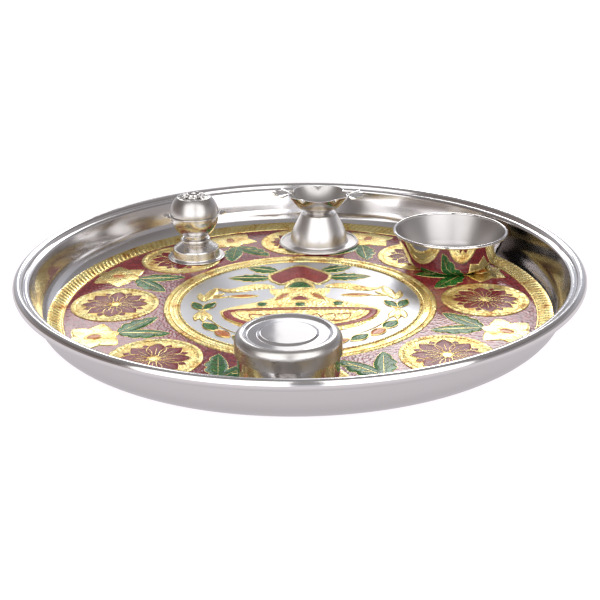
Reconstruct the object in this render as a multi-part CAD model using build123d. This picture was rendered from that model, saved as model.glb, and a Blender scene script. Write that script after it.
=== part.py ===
from build123d import *
import math
import os

# Puja thali: a drawn steel tray with gilt and enamelled relief on its floor. An incense stand, an oil lamp,
# a small bowl and a lidded powder box stand loose on it.
# Frame: +Z up, origin under the middle of the tray, the front of the tray towards -Y. Millimetres, degrees.

# Tray: one sheet, drawn to a pan, with its edge rolled outwards into a bead
rim_diameter = 280.0
tray_height = 24.6
pan_sheet = 0.7
corner_bend = 12.0
wall_lean = 9.0
ledge_width = 2.1
ledge_bend = 1.2
bead_diameter = 5.0
curl_opening_start = 192.0
curl_opening_end = 232.0

# Floor relief: everything that a vessel can stand on is level with the top of the figures
enamel_thickness = 0.3
relief_height = 0.45
bond_line = 0.05
field_margin = 0.4
rope_sweep = 33.0
rope_height = 1.0
rope_flats = 6
motif_count = 8

# Gilt ring round the middle of the floor, its outer edge at a share of the flat floor's radius
ring_place_share = 0.5788
ring_width = 8.5
ring_thickness = 0.4
ring_outer_bead_width = 2.6
ring_inner_bead_width = 1.5

# Round medallions in the enamel band, each with a lotus
medallion_margin = 2.7
medallion_plate = 0.2
medallion_bead_width = 2.2
lotus_petal_count = 8
lotus_diameter = 34.0
lotus_petal_width = 8.0
lotus_eye_diameter = 6.0

# Lilies and leaf pairs between the medallions, at shares of the band's width
lily_place_share = 0.74
lily_petal_count = 6
lily_diameter = 27.0
lily_petal_width = 10.0
lily_heart_length = 7.6
lily_heart_width = 4.4
leaf_root_share = 0.51
leaf_tip_margin = 2.5
leaf_width = 7.2
leaf_spread = 26.0
leaf_tooth_count = 4
leaf_tooth_length = 6.4
leaf_tooth_width = 3.6
leaf_tooth_angle = 38.0

# Water pot figure in the middle, drawn in shares of the bare floor's radius
figure_height = 0.5
figure_frame = 2.2
figure_corner = 1.6
coconut_shares = ((0.0, 0.88), (0.265, 0.645), (0.165, 0.42), (0.0, 0.55))
dome_base_share = 0.32
dome_diameter = 10.4
pot_shares = ((0.255, 0.30), (0.255, 0.215), (0.17, 0.14), (0.40, 0.0), (0.59, -0.115), (0.69, -0.16),
              (0.50, -0.50), (0.17, -0.68), (0.21, -0.79))
belly_reach_share = 0.60
belly_level_share = -0.16
belly_crown_share = -0.12
belly_keel_share = -0.56
belly_band = 4.2
swag_root_shares = (0.25, 0.375)
swag_tip_shares = (0.72, 0.31)
swag_top_shares = (0.48, 0.43)
swag_under_shares = (0.48, 0.315)
mango_leaf_shares = ((0.20, 0.775, 0.46, 0.87), (0.285, 0.60, 0.60, 0.585))
mango_leaf_width = 9.0
gem_shares = ((-0.32, -0.055), (0.0, -0.035), (0.32, -0.055))
gem_length = 7.0
gem_width = 3.6
flame_shares = ((0.05, 0.185, 0.23, 0.255), (0.36, 0.162, 0.60, 0.155))
flame_width = 3.2
scroll_leaf_shares = (0.64, 0.152, 0.79, 0.105)
scroll_leaf_width = 2.2

# Wreath of small leaves round the figure, in the same shares, listed by angle for the left side
wreath_place_share = 0.876
wreath_leaf_length_share = 0.178
wreath_leaf_width_share = 0.105
wreath_gilt_angles = (157.0, 172.0, 200.0)
wreath_green_angles = (186.0, 213.0, 238.0)
wreath_orange_angles = (225.5, 250.5)

# Places of the vessels, in shares of how far the middle of each foot can go on the flat floor
incense_place_shares = (-0.5630, 0.6860)
lamp_place_shares = (0.1192, 0.9590)
bowl_place_shares = (0.8492, 0.5366)
box_place_shares = (-0.0535, -0.9475)

# Sheet, rivets and fits of the vessels
vessel_sheet = 0.6
rivet_diameter = 3.0
rivet_head_diameter = 5.6
rivet_head_height = 1.1

# Incense stand: a spun foot, a ball in two halves with an eared band between them, and a pierced top
incense_foot_diameter = 31.4
incense_drum_foot_diameter = 26.8
incense_drum_diameter = 25.4
incense_drum_height = 5.6
incense_neck_base_height = 9.6
incense_neck_diameter = 12.8
incense_neck_height = 14.0
incense_foot_bend = 0.9
incense_drum_bend = 1.5
incense_neck_root_bend = 0.6
incense_neck_bend = 1.2
incense_ring_wire = 1.9
incense_bowl_diameter = 26.6
incense_bowl_base_diameter = 17.0
incense_band_thickness = 0.8
incense_band_overhang = 0.9
incense_ear_reach = 4.6
incense_ear_turn = 11.0
incense_dome_diameter = 27.2
incense_crown_diameter = 18.8
incense_crown_rise = 1.0
incense_collar_diameter = 8.6
incense_collar_height = 1.0
incense_collar_scallop = 2.2
incense_collar_scallop_count = 6
incense_stick_hole = 5.0
incense_side_hole = 2.2
incense_side_hole_count = 6
incense_side_hole_circle = 13.4

# Oil lamp: a spun conical stand, a turned collar and a five-lobed lamp bowl with two fan ears
lamp_foot_diameter = 45.5
lamp_cone_foot_diameter = 31.2
lamp_cone_top_diameter = 20.4
lamp_cone_height = 18.2
lamp_foot_bend = 1.2
lamp_foot_bead = 1.3
lamp_shoulder_bend = 1.4
lamp_collar_end_diameter = 14.6
lamp_collar_diameter = 16.0
lamp_collar_groove_diameter = 13.2
lamp_collar_groove_share = 0.4
lamp_collar_height = 2.4
lamp_lobe_count = 5
lamp_lobe_start = -126.0
lamp_base_diameter = 16.4
lamp_waist_diameter = 27.0
lamp_waist_dent = 0.5
lamp_lip_diameter = 36.0
lamp_lip_dent = 2.6
lamp_bowl_depth = 8.8
lamp_waist_share = 0.45
lamp_ear_span = 55.0
lamp_ear_root_diameter = 31.0
lamp_ear_turn = -8.0

# Fan ears: pointed teeth spread about the way that the ear points
ear_tooth_count = 5
ear_half_spread = 62.0
ear_valley_share = 0.74
ear_root_share = 0.45

# Small bowl with a thin rolled lip
bowl_sheet = 0.7
bowl_base_diameter = 44.6
bowl_rim_diameter = 62.0
bowl_height = 20.3
bowl_base_bend = 9.0
bowl_lip_diameter = 1.7

# Powder box: a straight cup and a lid that slips over it
box_sheet = 0.7
box_cup_diameter = 44.2
box_cup_bend = 2.2
box_lid_slip = 0.35
box_lid_height = 23.5
box_lid_skirt = 9.0
box_lid_bend = 2.5
box_lid_seat_gap = 0.3
box_lid_rim_width = 4.15
box_lid_recess_depth = 0.6
box_lid_disc_diameter = 26.4
box_lid_disc_rise = 0.3
box_lid_step_run = 1.4
box_lid_step_bend = 1.2

# Heights and radii that the tray, the relief and the vessels share
floor_level = pan_sheet
field_top = floor_level + enamel_thickness
seat_level = field_top + relief_height
bead_radius = bead_diameter / 2
bead_middle = rim_diameter / 2 - bead_radius
bead_level = tray_height - bead_radius
ledge_level = bead_level - pan_sheet / 2
wall_top = bead_middle - bead_radius - ledge_width
wall_foot = wall_top - ledge_level * math.tan(math.radians(wall_lean))
flat_radius = wall_foot - corner_bend * math.tan(math.radians(90 - wall_lean) / 2)
ring_radius = flat_radius * ring_place_share
bare_radius = ring_radius - ring_width
field_radius = flat_radius - field_margin
band_width = field_radius - ring_radius
medallion_radius = band_width / 2 - medallion_margin
medallion_circle = ring_radius + band_width / 2
rivet_radius = rivet_diameter / 2


def parallel(points, gap):
    """Mitred parallel of an open polyline, to the left of its direction."""
    normals = []
    for (x0, y0), (x1, y1) in zip(points, points[1:]):
        length = math.hypot(x1 - x0, y1 - y0)
        normals.append(((y0 - y1) / length, (x1 - x0) / length))
    moved = []
    for (x, y), (ax, ay), (bx, by) in zip(points, normals[:1] + normals, normals + normals[-1:]):
        reach = gap / (1 + ax * bx + ay * by)
        moved.append((x + (ax + bx) * reach, y + (ay + by) * reach))
    return moved


def parallel_bends(points, bends, gap):
    """Bend radii of that parallel: a left bend tightens by the gap and a right bend opens by it."""
    moved = []
    for (ax, ay), (bx, by), (cx, cy), bend in zip(points, points[1:], points[2:], bends):
        turn = (bx - ax) * (cy - by) - (by - ay) * (cx - bx)
        moved.append(bend - math.copysign(gap, turn))
    return moved


def sheet_section(points, bends, sheet):
    """Section of bent sheet: a polyline with bends, and its parallel one sheet to the left."""
    far = parallel(points, sheet)
    near_line = FilletPolyline(*points, radius=bends)
    far_line = FilletPolyline(*far, radius=parallel_bends(points, bends, sheet))
    ends = [Line(points[0], far[0]), Line(points[-1], far[-1])]
    return make_face([*near_line.edges(), *far_line.edges(), *ends])


def spin(section):
    """Turns a section, drawn with radius across and height up, into a round solid."""
    return revolve(Plane.XZ * section, Axis.Z)


def group(parts):
    """One node made of several separate solids."""
    return Compound([solid for part in parts for solid in part.solids()])


def scaled(shares, size):
    """A table of shares as points at real size."""
    return [(x * size, y * size) for x, y in shares]


def lens(length, width):
    """Pointed leaf from the origin along X, between two equal arcs."""
    upper = ThreePointArc((0, 0), (length / 2, width / 2), (length, 0))
    lower = ThreePointArc((length, 0), (length / 2, -width / 2), (0, 0))
    return make_face([upper, lower])


def lens_between(x0, y0, x1, y1, width):
    """The same leaf, from one point to another."""
    turn = math.degrees(math.atan2(y1 - y0, x1 - x0))
    return Pos(x0, y0) * Rot(0, 0, turn) * lens(math.hypot(x1 - x0, y1 - y0), width)


def round_the_motifs(sketch, radius, first_angle):
    """Copies of a sketch, each turned outwards, spaced evenly on a circle."""
    return [place * sketch for place in PolarLocations(radius, motif_count, start_angle=first_angle)]


def raise_relief(sketches, level, height):
    """Low solids, one for each separate face of the sketches, standing on a level."""
    faces = [face for sketch in sketches for face in sketch.faces()]
    return group([extrude(Pos(0, 0, level) * face, height, dir=(0, 0, 1)) for face in faces])


def crowned_ring(inner, outer, level, thickness, top, inner_bead, outer_bead):
    """Section of a flat ring with a rounded bead along each edge that has one."""
    step = level + thickness
    edges = [Line((inner, level), (outer, level)), Line((outer, level), (outer, step))]
    edges.append(ThreePointArc((outer, step), (outer - outer_bead / 2, top), (outer - outer_bead, step)))
    edges.append(Line((outer - outer_bead, step), (inner + inner_bead, step)))
    if inner_bead:
        edges.append(ThreePointArc((inner + inner_bead, step), (inner + inner_bead / 2, top), (inner, step)))
    edges.append(Line((inner, step), (inner, level)))
    return make_face(edges)


def cap_arc(radius, base, rise):
    """Arc of a shallow dome over a base level, from the axis to its edge; a negative rise hangs down."""
    sphere = (radius ** 2 + rise ** 2) / (2 * rise)
    half = math.asin(radius / sphere) / 2
    middle = (abs(sphere * math.sin(half)), base + rise - sphere * (1 - math.cos(half)))
    return ThreePointArc((0, base + rise), middle, (radius, base))


def rivet(level, grip):
    """Rivet with two domed heads, clamping a stack that starts at a level and is one grip thick."""
    head = rivet_head_diameter / 2
    top = level + grip
    low_dome = cap_arc(head, level, -rivet_head_height)
    high_dome = cap_arc(head, top, rivet_head_height)
    shank = Polyline((head, level), (rivet_radius, level), (rivet_radius, top), (head, top))
    axis = Line((0, top + rivet_head_height), (0, level - rivet_head_height))
    return spin(make_face([low_dome, *shank.edges(), high_dome, axis]))


def fan_ear(root, reach, turn):
    """Flat fan: pointed teeth on an arc about the root, closed by a short straight tail behind it."""
    step = ear_half_spread / ear_tooth_count
    outline = []
    for i in range(2 * ear_tooth_count + 1):
        angle = math.radians((i - ear_tooth_count) * step)
        length = reach if i % 2 else reach * ear_valley_share
        outline.append((root + length * math.cos(angle), length * math.sin(angle)))
    tail = reach * ear_root_share
    outline += [(root - tail, tail), (root - tail, -tail)]
    return Rot(0, 0, turn) * make_face(Polyline(*outline, close=True))


# Tray
def tray_pan():
    line = [(0, 0), (wall_foot, 0), (wall_top, ledge_level), (bead_middle - bead_radius + pan_sheet / 2, ledge_level)]
    pan = sheet_section(line, [corner_bend, ledge_bend], pan_sheet)
    ring = Circle(bead_radius) - Circle(bead_radius - pan_sheet)
    sides = [(bead_diameter * math.cos(math.radians(a)), bead_diameter * math.sin(math.radians(a)))
             for a in (curl_opening_start, curl_opening_end)]
    curl = ring - make_face(Polyline((0, 0), *sides, close=True))
    return spin(pan + Pos(bead_middle, bead_level) * curl)


def rope_border():
    """Low rounded rope that lies up the pan's corner, just outside the flat floor."""
    seat = corner_bend - pan_sheet - bond_line

    def at(part, rise):
        angle = math.radians(rope_sweep * part)
        radius = seat - rise
        return flat_radius + radius * math.sin(angle), corner_bend - radius * math.cos(angle)

    parts = [i / rope_flats for i in range(rope_flats + 1)]
    under = [at(part, 0) for part in parts]
    over = [at(part, rope_height * math.sin(math.pi * part)) for part in parts[-2:0:-1]]
    return spin(make_face(Polyline(*under, *over, close=True)))


def field_enamel():
    return Pos(0, 0, floor_level) * extrude(Circle(field_radius) - Circle(ring_radius), enamel_thickness)


def medallion_ring():
    return spin(crowned_ring(bare_radius, ring_radius, floor_level, ring_thickness, seat_level,
                             ring_inner_bead_width, ring_outer_bead_width))


def round_medallions():
    disc = spin(crowned_ring(0, medallion_radius, field_top, medallion_plate, seat_level,
                             0, medallion_bead_width))
    return group([place * disc for place in PolarLocations(medallion_circle, motif_count)])


def petals(count, diameter, width):
    """Pointed petals round a centre, in one outline."""
    flower = Sketch()
    for i in range(count):
        flower += Rot(0, 0, i * 360 / count) * lens(diameter / 2, width)
    return flower


def medallion_lotuses():
    lotus = petals(lotus_petal_count, lotus_diameter, lotus_petal_width) + Circle(lotus_eye_diameter / 2)
    level = field_top + medallion_plate
    return raise_relief(round_the_motifs(lotus, medallion_circle, 0), level, seat_level - level)


lily_circle = ring_radius + band_width * lily_place_share
between_medallions = 180 / motif_count
lily_heart = Pos(-lily_heart_length / 2, 0) * lens(lily_heart_length, lily_heart_width)
lily = petals(lily_petal_count, lily_diameter, lily_petal_width)


def toothed_leaf(length, side):
    """Leaf with small pointed lobes along one edge."""
    leaf = lens(length, leaf_width)
    for i in range(leaf_tooth_count):
        start = length * (i + 1) / (leaf_tooth_count + 2)
        leaf += Pos(start, 0) * Rot(0, 0, side * leaf_tooth_angle) * lens(leaf_tooth_length, leaf_tooth_width)
    return leaf


leaf_root = band_width * leaf_root_share
leaf_length = (leaf_root - leaf_tip_margin) / math.cos(math.radians(leaf_spread))
leaf_pair = Sketch()
for side in (-1, 1):
    leaf_pair += Rot(0, 0, 180 + side * leaf_spread) * toothed_leaf(leaf_length, side)
leaf_offset = ring_radius + leaf_root - lily_circle


def gilt_lilies():
    bloom = lily - lily_heart - Pos(leaf_offset, 0) * leaf_pair
    return raise_relief(round_the_motifs(bloom, lily_circle, between_medallions), field_top, relief_height)


def lily_hearts():
    return raise_relief(round_the_motifs(lily_heart, lily_circle, between_medallions), field_top, relief_height)


def leaf_pairs():
    places = round_the_motifs(leaf_pair, ring_radius + leaf_root, between_medallions)
    return raise_relief(places, field_top, relief_height)


# Water pot figure
def both_sides(sketch):
    """A sketch and its mirror image across the figure's upright middle."""
    return sketch + mirror(sketch, Plane.YZ)


def closed_outline(shares):
    """Symmetric outline from its right side, listed from top to bottom, with rounded corners."""
    right = scaled(shares, bare_radius)
    left = [(-x, y) for x, y in reversed(right) if x]
    return make_face(FilletPolyline(*right, *left, radius=figure_corner, close=True))


def belly(reach, level, crown, keel):
    """Wide bowl shape between a nearly level top arc and a deep lower arc."""
    top = ThreePointArc((-reach, level), (0, crown), (reach, level))
    bottom = ThreePointArc((reach, level), (0, keel), (-reach, level))
    return make_face([top, bottom])


def leaf_at(shares, width):
    """Leaf between two points given as shares of the bare floor's radius."""
    return lens_between(*[share * bare_radius for share in shares], width)


coconut = closed_outline(coconut_shares)
dome = Pos(0, dome_base_share * bare_radius) * (
    Circle(dome_diameter / 2) & Pos(0, dome_diameter / 2) * Rectangle(dome_diameter, dome_diameter))
dome_frame = offset(dome, figure_frame)
coconut_frame = offset(coconut, figure_frame)
belly_level = belly_level_share * bare_radius
belly_crown = belly_crown_share * bare_radius
belly_keel = belly_keel_share * bare_radius
belly_reach = belly_reach_share * bare_radius
belly_outer = belly(belly_reach, belly_level, belly_crown, belly_keel)
belly_inner = belly(belly_reach - 2 * belly_band, belly_level - belly_band / 2, belly_crown - belly_band,
                    belly_keel + belly_band)
gems = Sketch() + [Pos(x - gem_length / 2, y) * lens(gem_length, gem_width)
                   for x, y in scaled(gem_shares, bare_radius)]
flames = both_sides(Sketch() + [leaf_at(shares, flame_width) for shares in flame_shares])
mango_leaves = both_sides(Sketch() + [leaf_at(shares, mango_leaf_width) for shares in mango_leaf_shares])
swag_points = scaled((swag_root_shares, swag_top_shares, swag_tip_shares, swag_under_shares), bare_radius)
swag_over = ThreePointArc(swag_points[0], swag_points[1], swag_points[2])
swag_under = ThreePointArc(swag_points[2], swag_points[3], swag_points[0])
swags = both_sides(make_face([swag_over, swag_under]))
red_parts = (coconut - dome_frame) + (belly_outer - belly_inner)
green_parts = mango_leaves - coconut_frame + dome + gems
scroll_leaves = both_sides(leaf_at(scroll_leaf_shares, scroll_leaf_width))
gilt_parts = coconut_frame + dome_frame + swags + closed_outline(pot_shares) + scroll_leaves
gilt_parts = gilt_parts - red_parts - green_parts - flames


def figure(sketch):
    return raise_relief([sketch], floor_level, figure_height)


def wreath(angles):
    """Small leaves lying along a circle just inside the gilt ring, on both sides of the figure."""
    radius = bare_radius * wreath_place_share
    length = bare_radius * wreath_leaf_length_share
    width = bare_radius * wreath_leaf_width_share
    small_leaf = Pos(0, -length / 2) * Rot(0, 0, 90) * lens(length, width)
    turned = [a for angle in angles for a in (angle, 180 - angle)]
    return figure(Sketch() + [Rot(0, 0, a) * Pos(radius, 0) * small_leaf for a in turned])


# Incense stand, drawn from its own foot upwards
bowl_radius = incense_bowl_diameter / 2
bowl_base = incense_bowl_base_diameter / 2
band_level = incense_neck_height + math.sqrt(bowl_radius ** 2 - bowl_base ** 2)
dome_level = band_level + incense_band_thickness
dome_radius = incense_dome_diameter / 2
crown_radius = incense_crown_diameter / 2
crown_level = dome_level + math.sqrt(dome_radius ** 2 - crown_radius ** 2)
crown_top = crown_level + incense_crown_rise
neck_radius = incense_neck_diameter / 2


def ball_arc(radius, level, height_a, height_b):
    """Arc of a circle centred on the axis at a level, between two heights."""
    angles = [math.asin((height - level) / radius) for height in (height_a, height_b)]
    angles.insert(1, sum(angles) / 2)
    return ThreePointArc(*[(radius * math.cos(a), level + radius * math.sin(a)) for a in angles])


def incense_foot():
    line = [(incense_foot_diameter / 2, vessel_sheet), (incense_drum_foot_diameter / 2, vessel_sheet),
            (incense_drum_diameter / 2, incense_drum_height), (neck_radius, incense_neck_base_height),
            (neck_radius, incense_neck_height), (rivet_radius + bond_line, incense_neck_height)]
    bends = [incense_foot_bend, incense_drum_bend, incense_neck_root_bend, incense_neck_bend]
    return spin(sheet_section(line, bends, vessel_sheet))


def incense_neck_ring():
    """Wire ring that nests between the neck and the sloping shoulder."""
    wire = incense_ring_wire / 2
    away = wire + bond_line
    run = incense_drum_diameter / 2 - neck_radius
    rise = incense_neck_base_height - incense_drum_height
    slope = math.hypot(run, rise)
    level = incense_neck_base_height + away * (slope - rise) / run
    return spin(Pos(neck_radius + away, level) * Circle(wire))


def incense_lower_bowl():
    inner = bowl_radius - vessel_sheet
    floor = incense_neck_height + vessel_sheet
    hole = rivet_radius + bond_line
    outside = ball_arc(bowl_radius, band_level, incense_neck_height, band_level)
    inside = ball_arc(inner, band_level, floor, band_level)
    plate = Polyline(inside @ 0, (hole, floor), (hole, incense_neck_height), outside @ 0)
    lip = Line(inside @ 1, outside @ 1)
    return spin(make_face([outside, inside, lip, *plate.edges()]))


def incense_band():
    ring = Circle(bowl_radius + incense_band_overhang) - Circle(bowl_radius - vessel_sheet)
    keep_out = Circle(bowl_radius)
    for side in (0, 180):
        ring += fan_ear(bowl_radius, incense_ear_reach, incense_ear_turn + side) - keep_out
    return Pos(0, 0, band_level) * extrude(ring, incense_band_thickness)


def incense_dome():
    hole = incense_stick_hole / 2
    collar = incense_collar_diameter / 2
    inner = dome_radius - vessel_sheet
    outside = ball_arc(dome_radius, dome_level, dome_level, crown_level)
    inside = ball_arc(inner, dome_level, dome_level, crown_level - vessel_sheet)
    top = Polyline(outside @ 1, (collar, crown_top), (hole, crown_top), (hole, crown_top - vessel_sheet),
                   (collar, crown_top - vessel_sheet), inside @ 1)
    lip = Line(inside @ 0, outside @ 0)
    shell = spin(make_face([outside, inside, lip, *top.edges()]))
    punch = Pos(0, 0, crown_level) * Cylinder(incense_side_hole / 2, incense_crown_diameter)
    for place in PolarLocations(incense_side_hole_circle / 2, incense_side_hole_count):
        shell -= place * punch
    return shell


def incense_collar():
    """Scalloped ring round the stick hole."""
    ring = Circle((incense_collar_diameter - incense_collar_scallop) / 2)
    scallop_circle = (incense_collar_diameter - incense_collar_scallop) / 2
    for place in PolarLocations(scallop_circle, incense_collar_scallop_count):
        ring += place * Circle(incense_collar_scallop / 2)
    ring -= Circle(incense_stick_hole / 2)
    return Pos(0, 0, crown_top) * extrude(ring, incense_collar_height)


# Oil lamp, drawn from its own foot upwards
lamp_bowl_level = lamp_cone_height + lamp_collar_height
lamp_lip_level = lamp_bowl_level + lamp_bowl_depth


def lamp_stand():
    line = [(lamp_foot_diameter / 2, vessel_sheet), (lamp_cone_foot_diameter / 2, vessel_sheet),
            (lamp_cone_top_diameter / 2, lamp_cone_height), (rivet_radius + bond_line, lamp_cone_height)]
    cone = sheet_section(line, [lamp_foot_bend, lamp_shoulder_bend], vessel_sheet)
    bead = lamp_foot_bead / 2
    return spin(cone + Pos(lamp_foot_diameter / 2 - bead, bead) * Circle(bead))


def lamp_collar():
    """Turned spacer with a round groove above the stand and a round bead under the bowl."""
    end = lamp_collar_end_diameter / 2
    top = lamp_cone_height + lamp_collar_height
    step = lamp_cone_height + lamp_collar_height * lamp_collar_groove_share
    groove_waist = (lamp_collar_groove_diameter / 2, (lamp_cone_height + step) / 2)
    bead_crest = (lamp_collar_diameter / 2, (step + top) / 2)
    groove = ThreePointArc((end, lamp_cone_height), groove_waist, (end, step))
    bead = ThreePointArc((end, step), bead_crest, (end, top))
    hole = rivet_radius + bond_line
    rest = Polyline((end, top), (hole, top), (hole, lamp_cone_height), (end, lamp_cone_height))
    return spin(make_face([groove, bead, *rest.edges()]))


def lobed(diameter, dent, level):
    """Outline of equal outward lobes, whose meeting points are dented in."""
    outer = diameter / 2
    inner = outer - dent
    arcs = []
    for i in range(lamp_lobe_count):
        angles = [math.radians(lamp_lobe_start + (i + part) * 360 / lamp_lobe_count) for part in (0, 0.5, 1)]
        points = [(r * math.cos(a), r * math.sin(a)) for r, a in zip((inner, outer, inner), angles)]
        arcs.append(ThreePointArc(*points))
    return Pos(0, 0, level) * make_face(arcs)


def lamp_shell(inset, floor):
    """Lofted body of the lamp bowl, drawn in by an inset, from a floor level to the lip."""
    waist = lamp_bowl_level + lamp_bowl_depth * lamp_waist_share
    return loft([lobed(lamp_base_diameter - 2 * inset, 0, floor),
                 lobed(lamp_waist_diameter - 2 * inset, lamp_waist_dent, waist),
                 lobed(lamp_lip_diameter - 2 * inset, lamp_lip_dent, lamp_lip_level)])


def lamp_bowl():
    body = lamp_shell(0, lamp_bowl_level)
    root = lamp_ear_root_diameter / 2
    for side in (0, 180):
        ear = fan_ear(root, lamp_ear_span / 2 - root, lamp_ear_turn + side)
        body += Pos(0, 0, lamp_lip_level - vessel_sheet) * extrude(ear, vessel_sheet)
    body -= lamp_shell(vessel_sheet, lamp_bowl_level + vessel_sheet)
    hole = Cylinder(rivet_radius + bond_line, lamp_bowl_depth)
    return body - Pos(0, 0, lamp_bowl_level) * hole


# Small bowl and powder box, drawn from their own bases upwards
def katori():
    lip = bowl_lip_diameter / 2
    lip_middle = bowl_rim_diameter / 2 - lip
    line = [(0, 0), (bowl_base_diameter / 2, 0), (lip_middle, bowl_height - lip)]
    wall = sheet_section(line, [bowl_base_bend], bowl_sheet)
    return spin(wall + Pos(lip_middle, bowl_height - lip) * Circle(lip))


cup_radius = box_cup_diameter / 2
lid_inner_radius = cup_radius + box_lid_slip
lid_radius = lid_inner_radius + box_sheet
lid_inner_bend = box_lid_bend - box_sheet
lid_bend_middle = lid_radius - box_lid_bend
cup_reach_in_bend = max(cup_radius - lid_bend_middle, 0)
lid_dip = lid_inner_bend - math.sqrt(lid_inner_bend ** 2 - cup_reach_in_bend ** 2)
cup_height = box_lid_height - box_sheet - lid_dip - box_lid_seat_gap


def box_cup():
    line = [(0, 0), (cup_radius, 0), (cup_radius, cup_height)]
    return spin(sheet_section(line, [box_cup_bend], box_sheet))


def box_lid():
    """Skirt, rounded shoulder, a recessed ring and a slightly raised middle disc, all of one sheet."""
    recess = box_lid_height - box_lid_recess_depth
    recess_radius = lid_radius - box_lid_rim_width
    disc = recess + box_lid_disc_rise
    line = [(lid_radius, box_lid_height - box_lid_skirt), (lid_radius, box_lid_height),
            (recess_radius, box_lid_height),
            (recess_radius - box_lid_step_run, recess),
            (box_lid_disc_diameter / 2, recess),
            (box_lid_disc_diameter / 2 - box_lid_step_run, disc), (0, disc)]
    bends = [box_lid_bend] + [box_lid_step_bend] * (len(line) - 3)
    return spin(sheet_section(line, bends, box_sheet))


def on_the_floor(shares, foot_diameter, part):
    """Stands a vessel on the relief, at its place on the tray."""
    (x, y), = scaled([shares], flat_radius - foot_diameter / 2)
    return Pos(x, y, seat_level) * part


nodes = {
    "tray_pan": tray_pan(),
    "rope_border": rope_border(),
    "field_enamel": field_enamel(),
    "medallion_ring": medallion_ring(),
    "round_medallions": round_medallions(),
    "medallion_lotuses": medallion_lotuses(),
    "gilt_lilies": gilt_lilies(),
    "lily_hearts": lily_hearts(),
    "leaf_pairs": leaf_pairs(),
    "pot_gilding": figure(gilt_parts),
    "pot_red_enamel": figure(red_parts),
    "pot_green_enamel": figure(green_parts),
    "pot_orange_enamel": figure(flames),
    "wreath_gilding": wreath(wreath_gilt_angles),
    "wreath_green_enamel": wreath(wreath_green_angles),
    "wreath_orange_enamel": wreath(wreath_orange_angles),
}
incense_grip = 2 * vessel_sheet
lamp_grip = lamp_collar_height + 2 * vessel_sheet
vessels = {
    "incense": (incense_place_shares, incense_foot_diameter, {
        "incense_foot": incense_foot(),
        "incense_neck_ring": incense_neck_ring(),
        "incense_lower_bowl": incense_lower_bowl(),
        "incense_band": incense_band(),
        "incense_dome": incense_dome(),
        "incense_collar": incense_collar(),
        "incense_rivet": rivet(incense_neck_height - vessel_sheet, incense_grip),
    }),
    "lamp": (lamp_place_shares, lamp_foot_diameter, {
        "lamp_stand": lamp_stand(),
        "lamp_collar": lamp_collar(),
        "lamp_bowl": lamp_bowl(),
        "lamp_rivet": rivet(lamp_cone_height - vessel_sheet, lamp_grip),
    }),
    "bowl": (bowl_place_shares, bowl_base_diameter, {"katori": katori()}),
    "box": (box_place_shares, box_cup_diameter, {"box_cup": box_cup(), "box_lid": box_lid()}),
}
for shares, foot_diameter, parts in vessels.values():
    for name, part in parts.items():
        nodes[name] = on_the_floor(shares, foot_diameter, part)

os.makedirs("parts", exist_ok=True)
for name, part in nodes.items():
    export_step(part, f"parts/{name}.step")
    print(name, len(part.solids()), "solids", round(part.volume, 1), "mm3")
print("flat floor radius", round(flat_radius, 2), "seat level", round(seat_level, 2))
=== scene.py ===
# %% [markdown]
# # A puja thali: spun steel, gilding and enamel
# A puja thali is the round tray that carries what is offered at a household shrine. This one is a drawn steel
# pan whose floor is gilt and enamelled in low relief. An incense stand, an oil lamp, a small bowl (katori) and
# a lidded powder box stand loose on it.
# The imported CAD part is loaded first. Its nodes fix where everything is, and each new piece replaces one of
# them with a smoother or finer surface at the same place. All sizes below are in millimetres.

# %% Load the frame
import math

import bmesh
import bpy
import numpy as np
from mathutils import Matrix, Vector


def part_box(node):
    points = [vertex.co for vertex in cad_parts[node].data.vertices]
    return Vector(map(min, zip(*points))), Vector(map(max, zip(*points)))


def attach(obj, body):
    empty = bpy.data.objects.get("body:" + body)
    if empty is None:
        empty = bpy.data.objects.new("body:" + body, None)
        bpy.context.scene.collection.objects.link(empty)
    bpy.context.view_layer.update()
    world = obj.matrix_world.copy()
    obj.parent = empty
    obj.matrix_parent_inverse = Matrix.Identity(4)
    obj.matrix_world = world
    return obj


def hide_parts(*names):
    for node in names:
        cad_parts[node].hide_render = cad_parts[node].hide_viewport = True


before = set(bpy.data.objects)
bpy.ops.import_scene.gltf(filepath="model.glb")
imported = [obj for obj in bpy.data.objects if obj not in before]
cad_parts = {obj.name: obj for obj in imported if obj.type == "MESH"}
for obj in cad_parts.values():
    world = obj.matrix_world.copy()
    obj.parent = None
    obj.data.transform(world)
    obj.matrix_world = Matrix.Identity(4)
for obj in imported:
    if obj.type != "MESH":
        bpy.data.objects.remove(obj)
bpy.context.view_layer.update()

MM = 0.001


def corners(node):
    """Lowest and highest corner of a CAD node, in millimetres."""
    low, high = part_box(node)
    return np.array(low) / MM, np.array(high) / MM


def foot_of(node):
    """The point under the middle of a CAD node: where a vessel's axis meets what it stands on."""
    low, high = corners(node)
    return np.array(((low[0] + high[0]) / 2, (low[1] + high[1]) / 2, low[2]))


rim_radius = corners("tray_pan")[1][0]
tray_height = corners("tray_pan")[1][2]
incense_foot = foot_of("incense_foot")
lamp_foot = foot_of("lamp_stand")
bowl_foot = foot_of("katori")
box_foot = foot_of("box_cup")
seat_level = box_foot[2]
print("nodes", len(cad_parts), "rim radius", round(rim_radius, 2), "seat level", round(seat_level, 2))

# %% [markdown]
# ## The camera
# The photograph looks down on the tray from the front. The rim, the base edge and the floor's rings are
# circles of known size, so their ellipses in the picture give the camera's height, tilt and focal length.
# A camera looks along its own -Z, so a tilt of 90 degrees would look at the horizon.

# %% Camera
camera_place = np.array((0.0, -524.2, 212.9))
camera_tilt = 68.1
camera_roll = -0.78
picture_width = 600.0
focal_pixels = 1113.9

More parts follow.
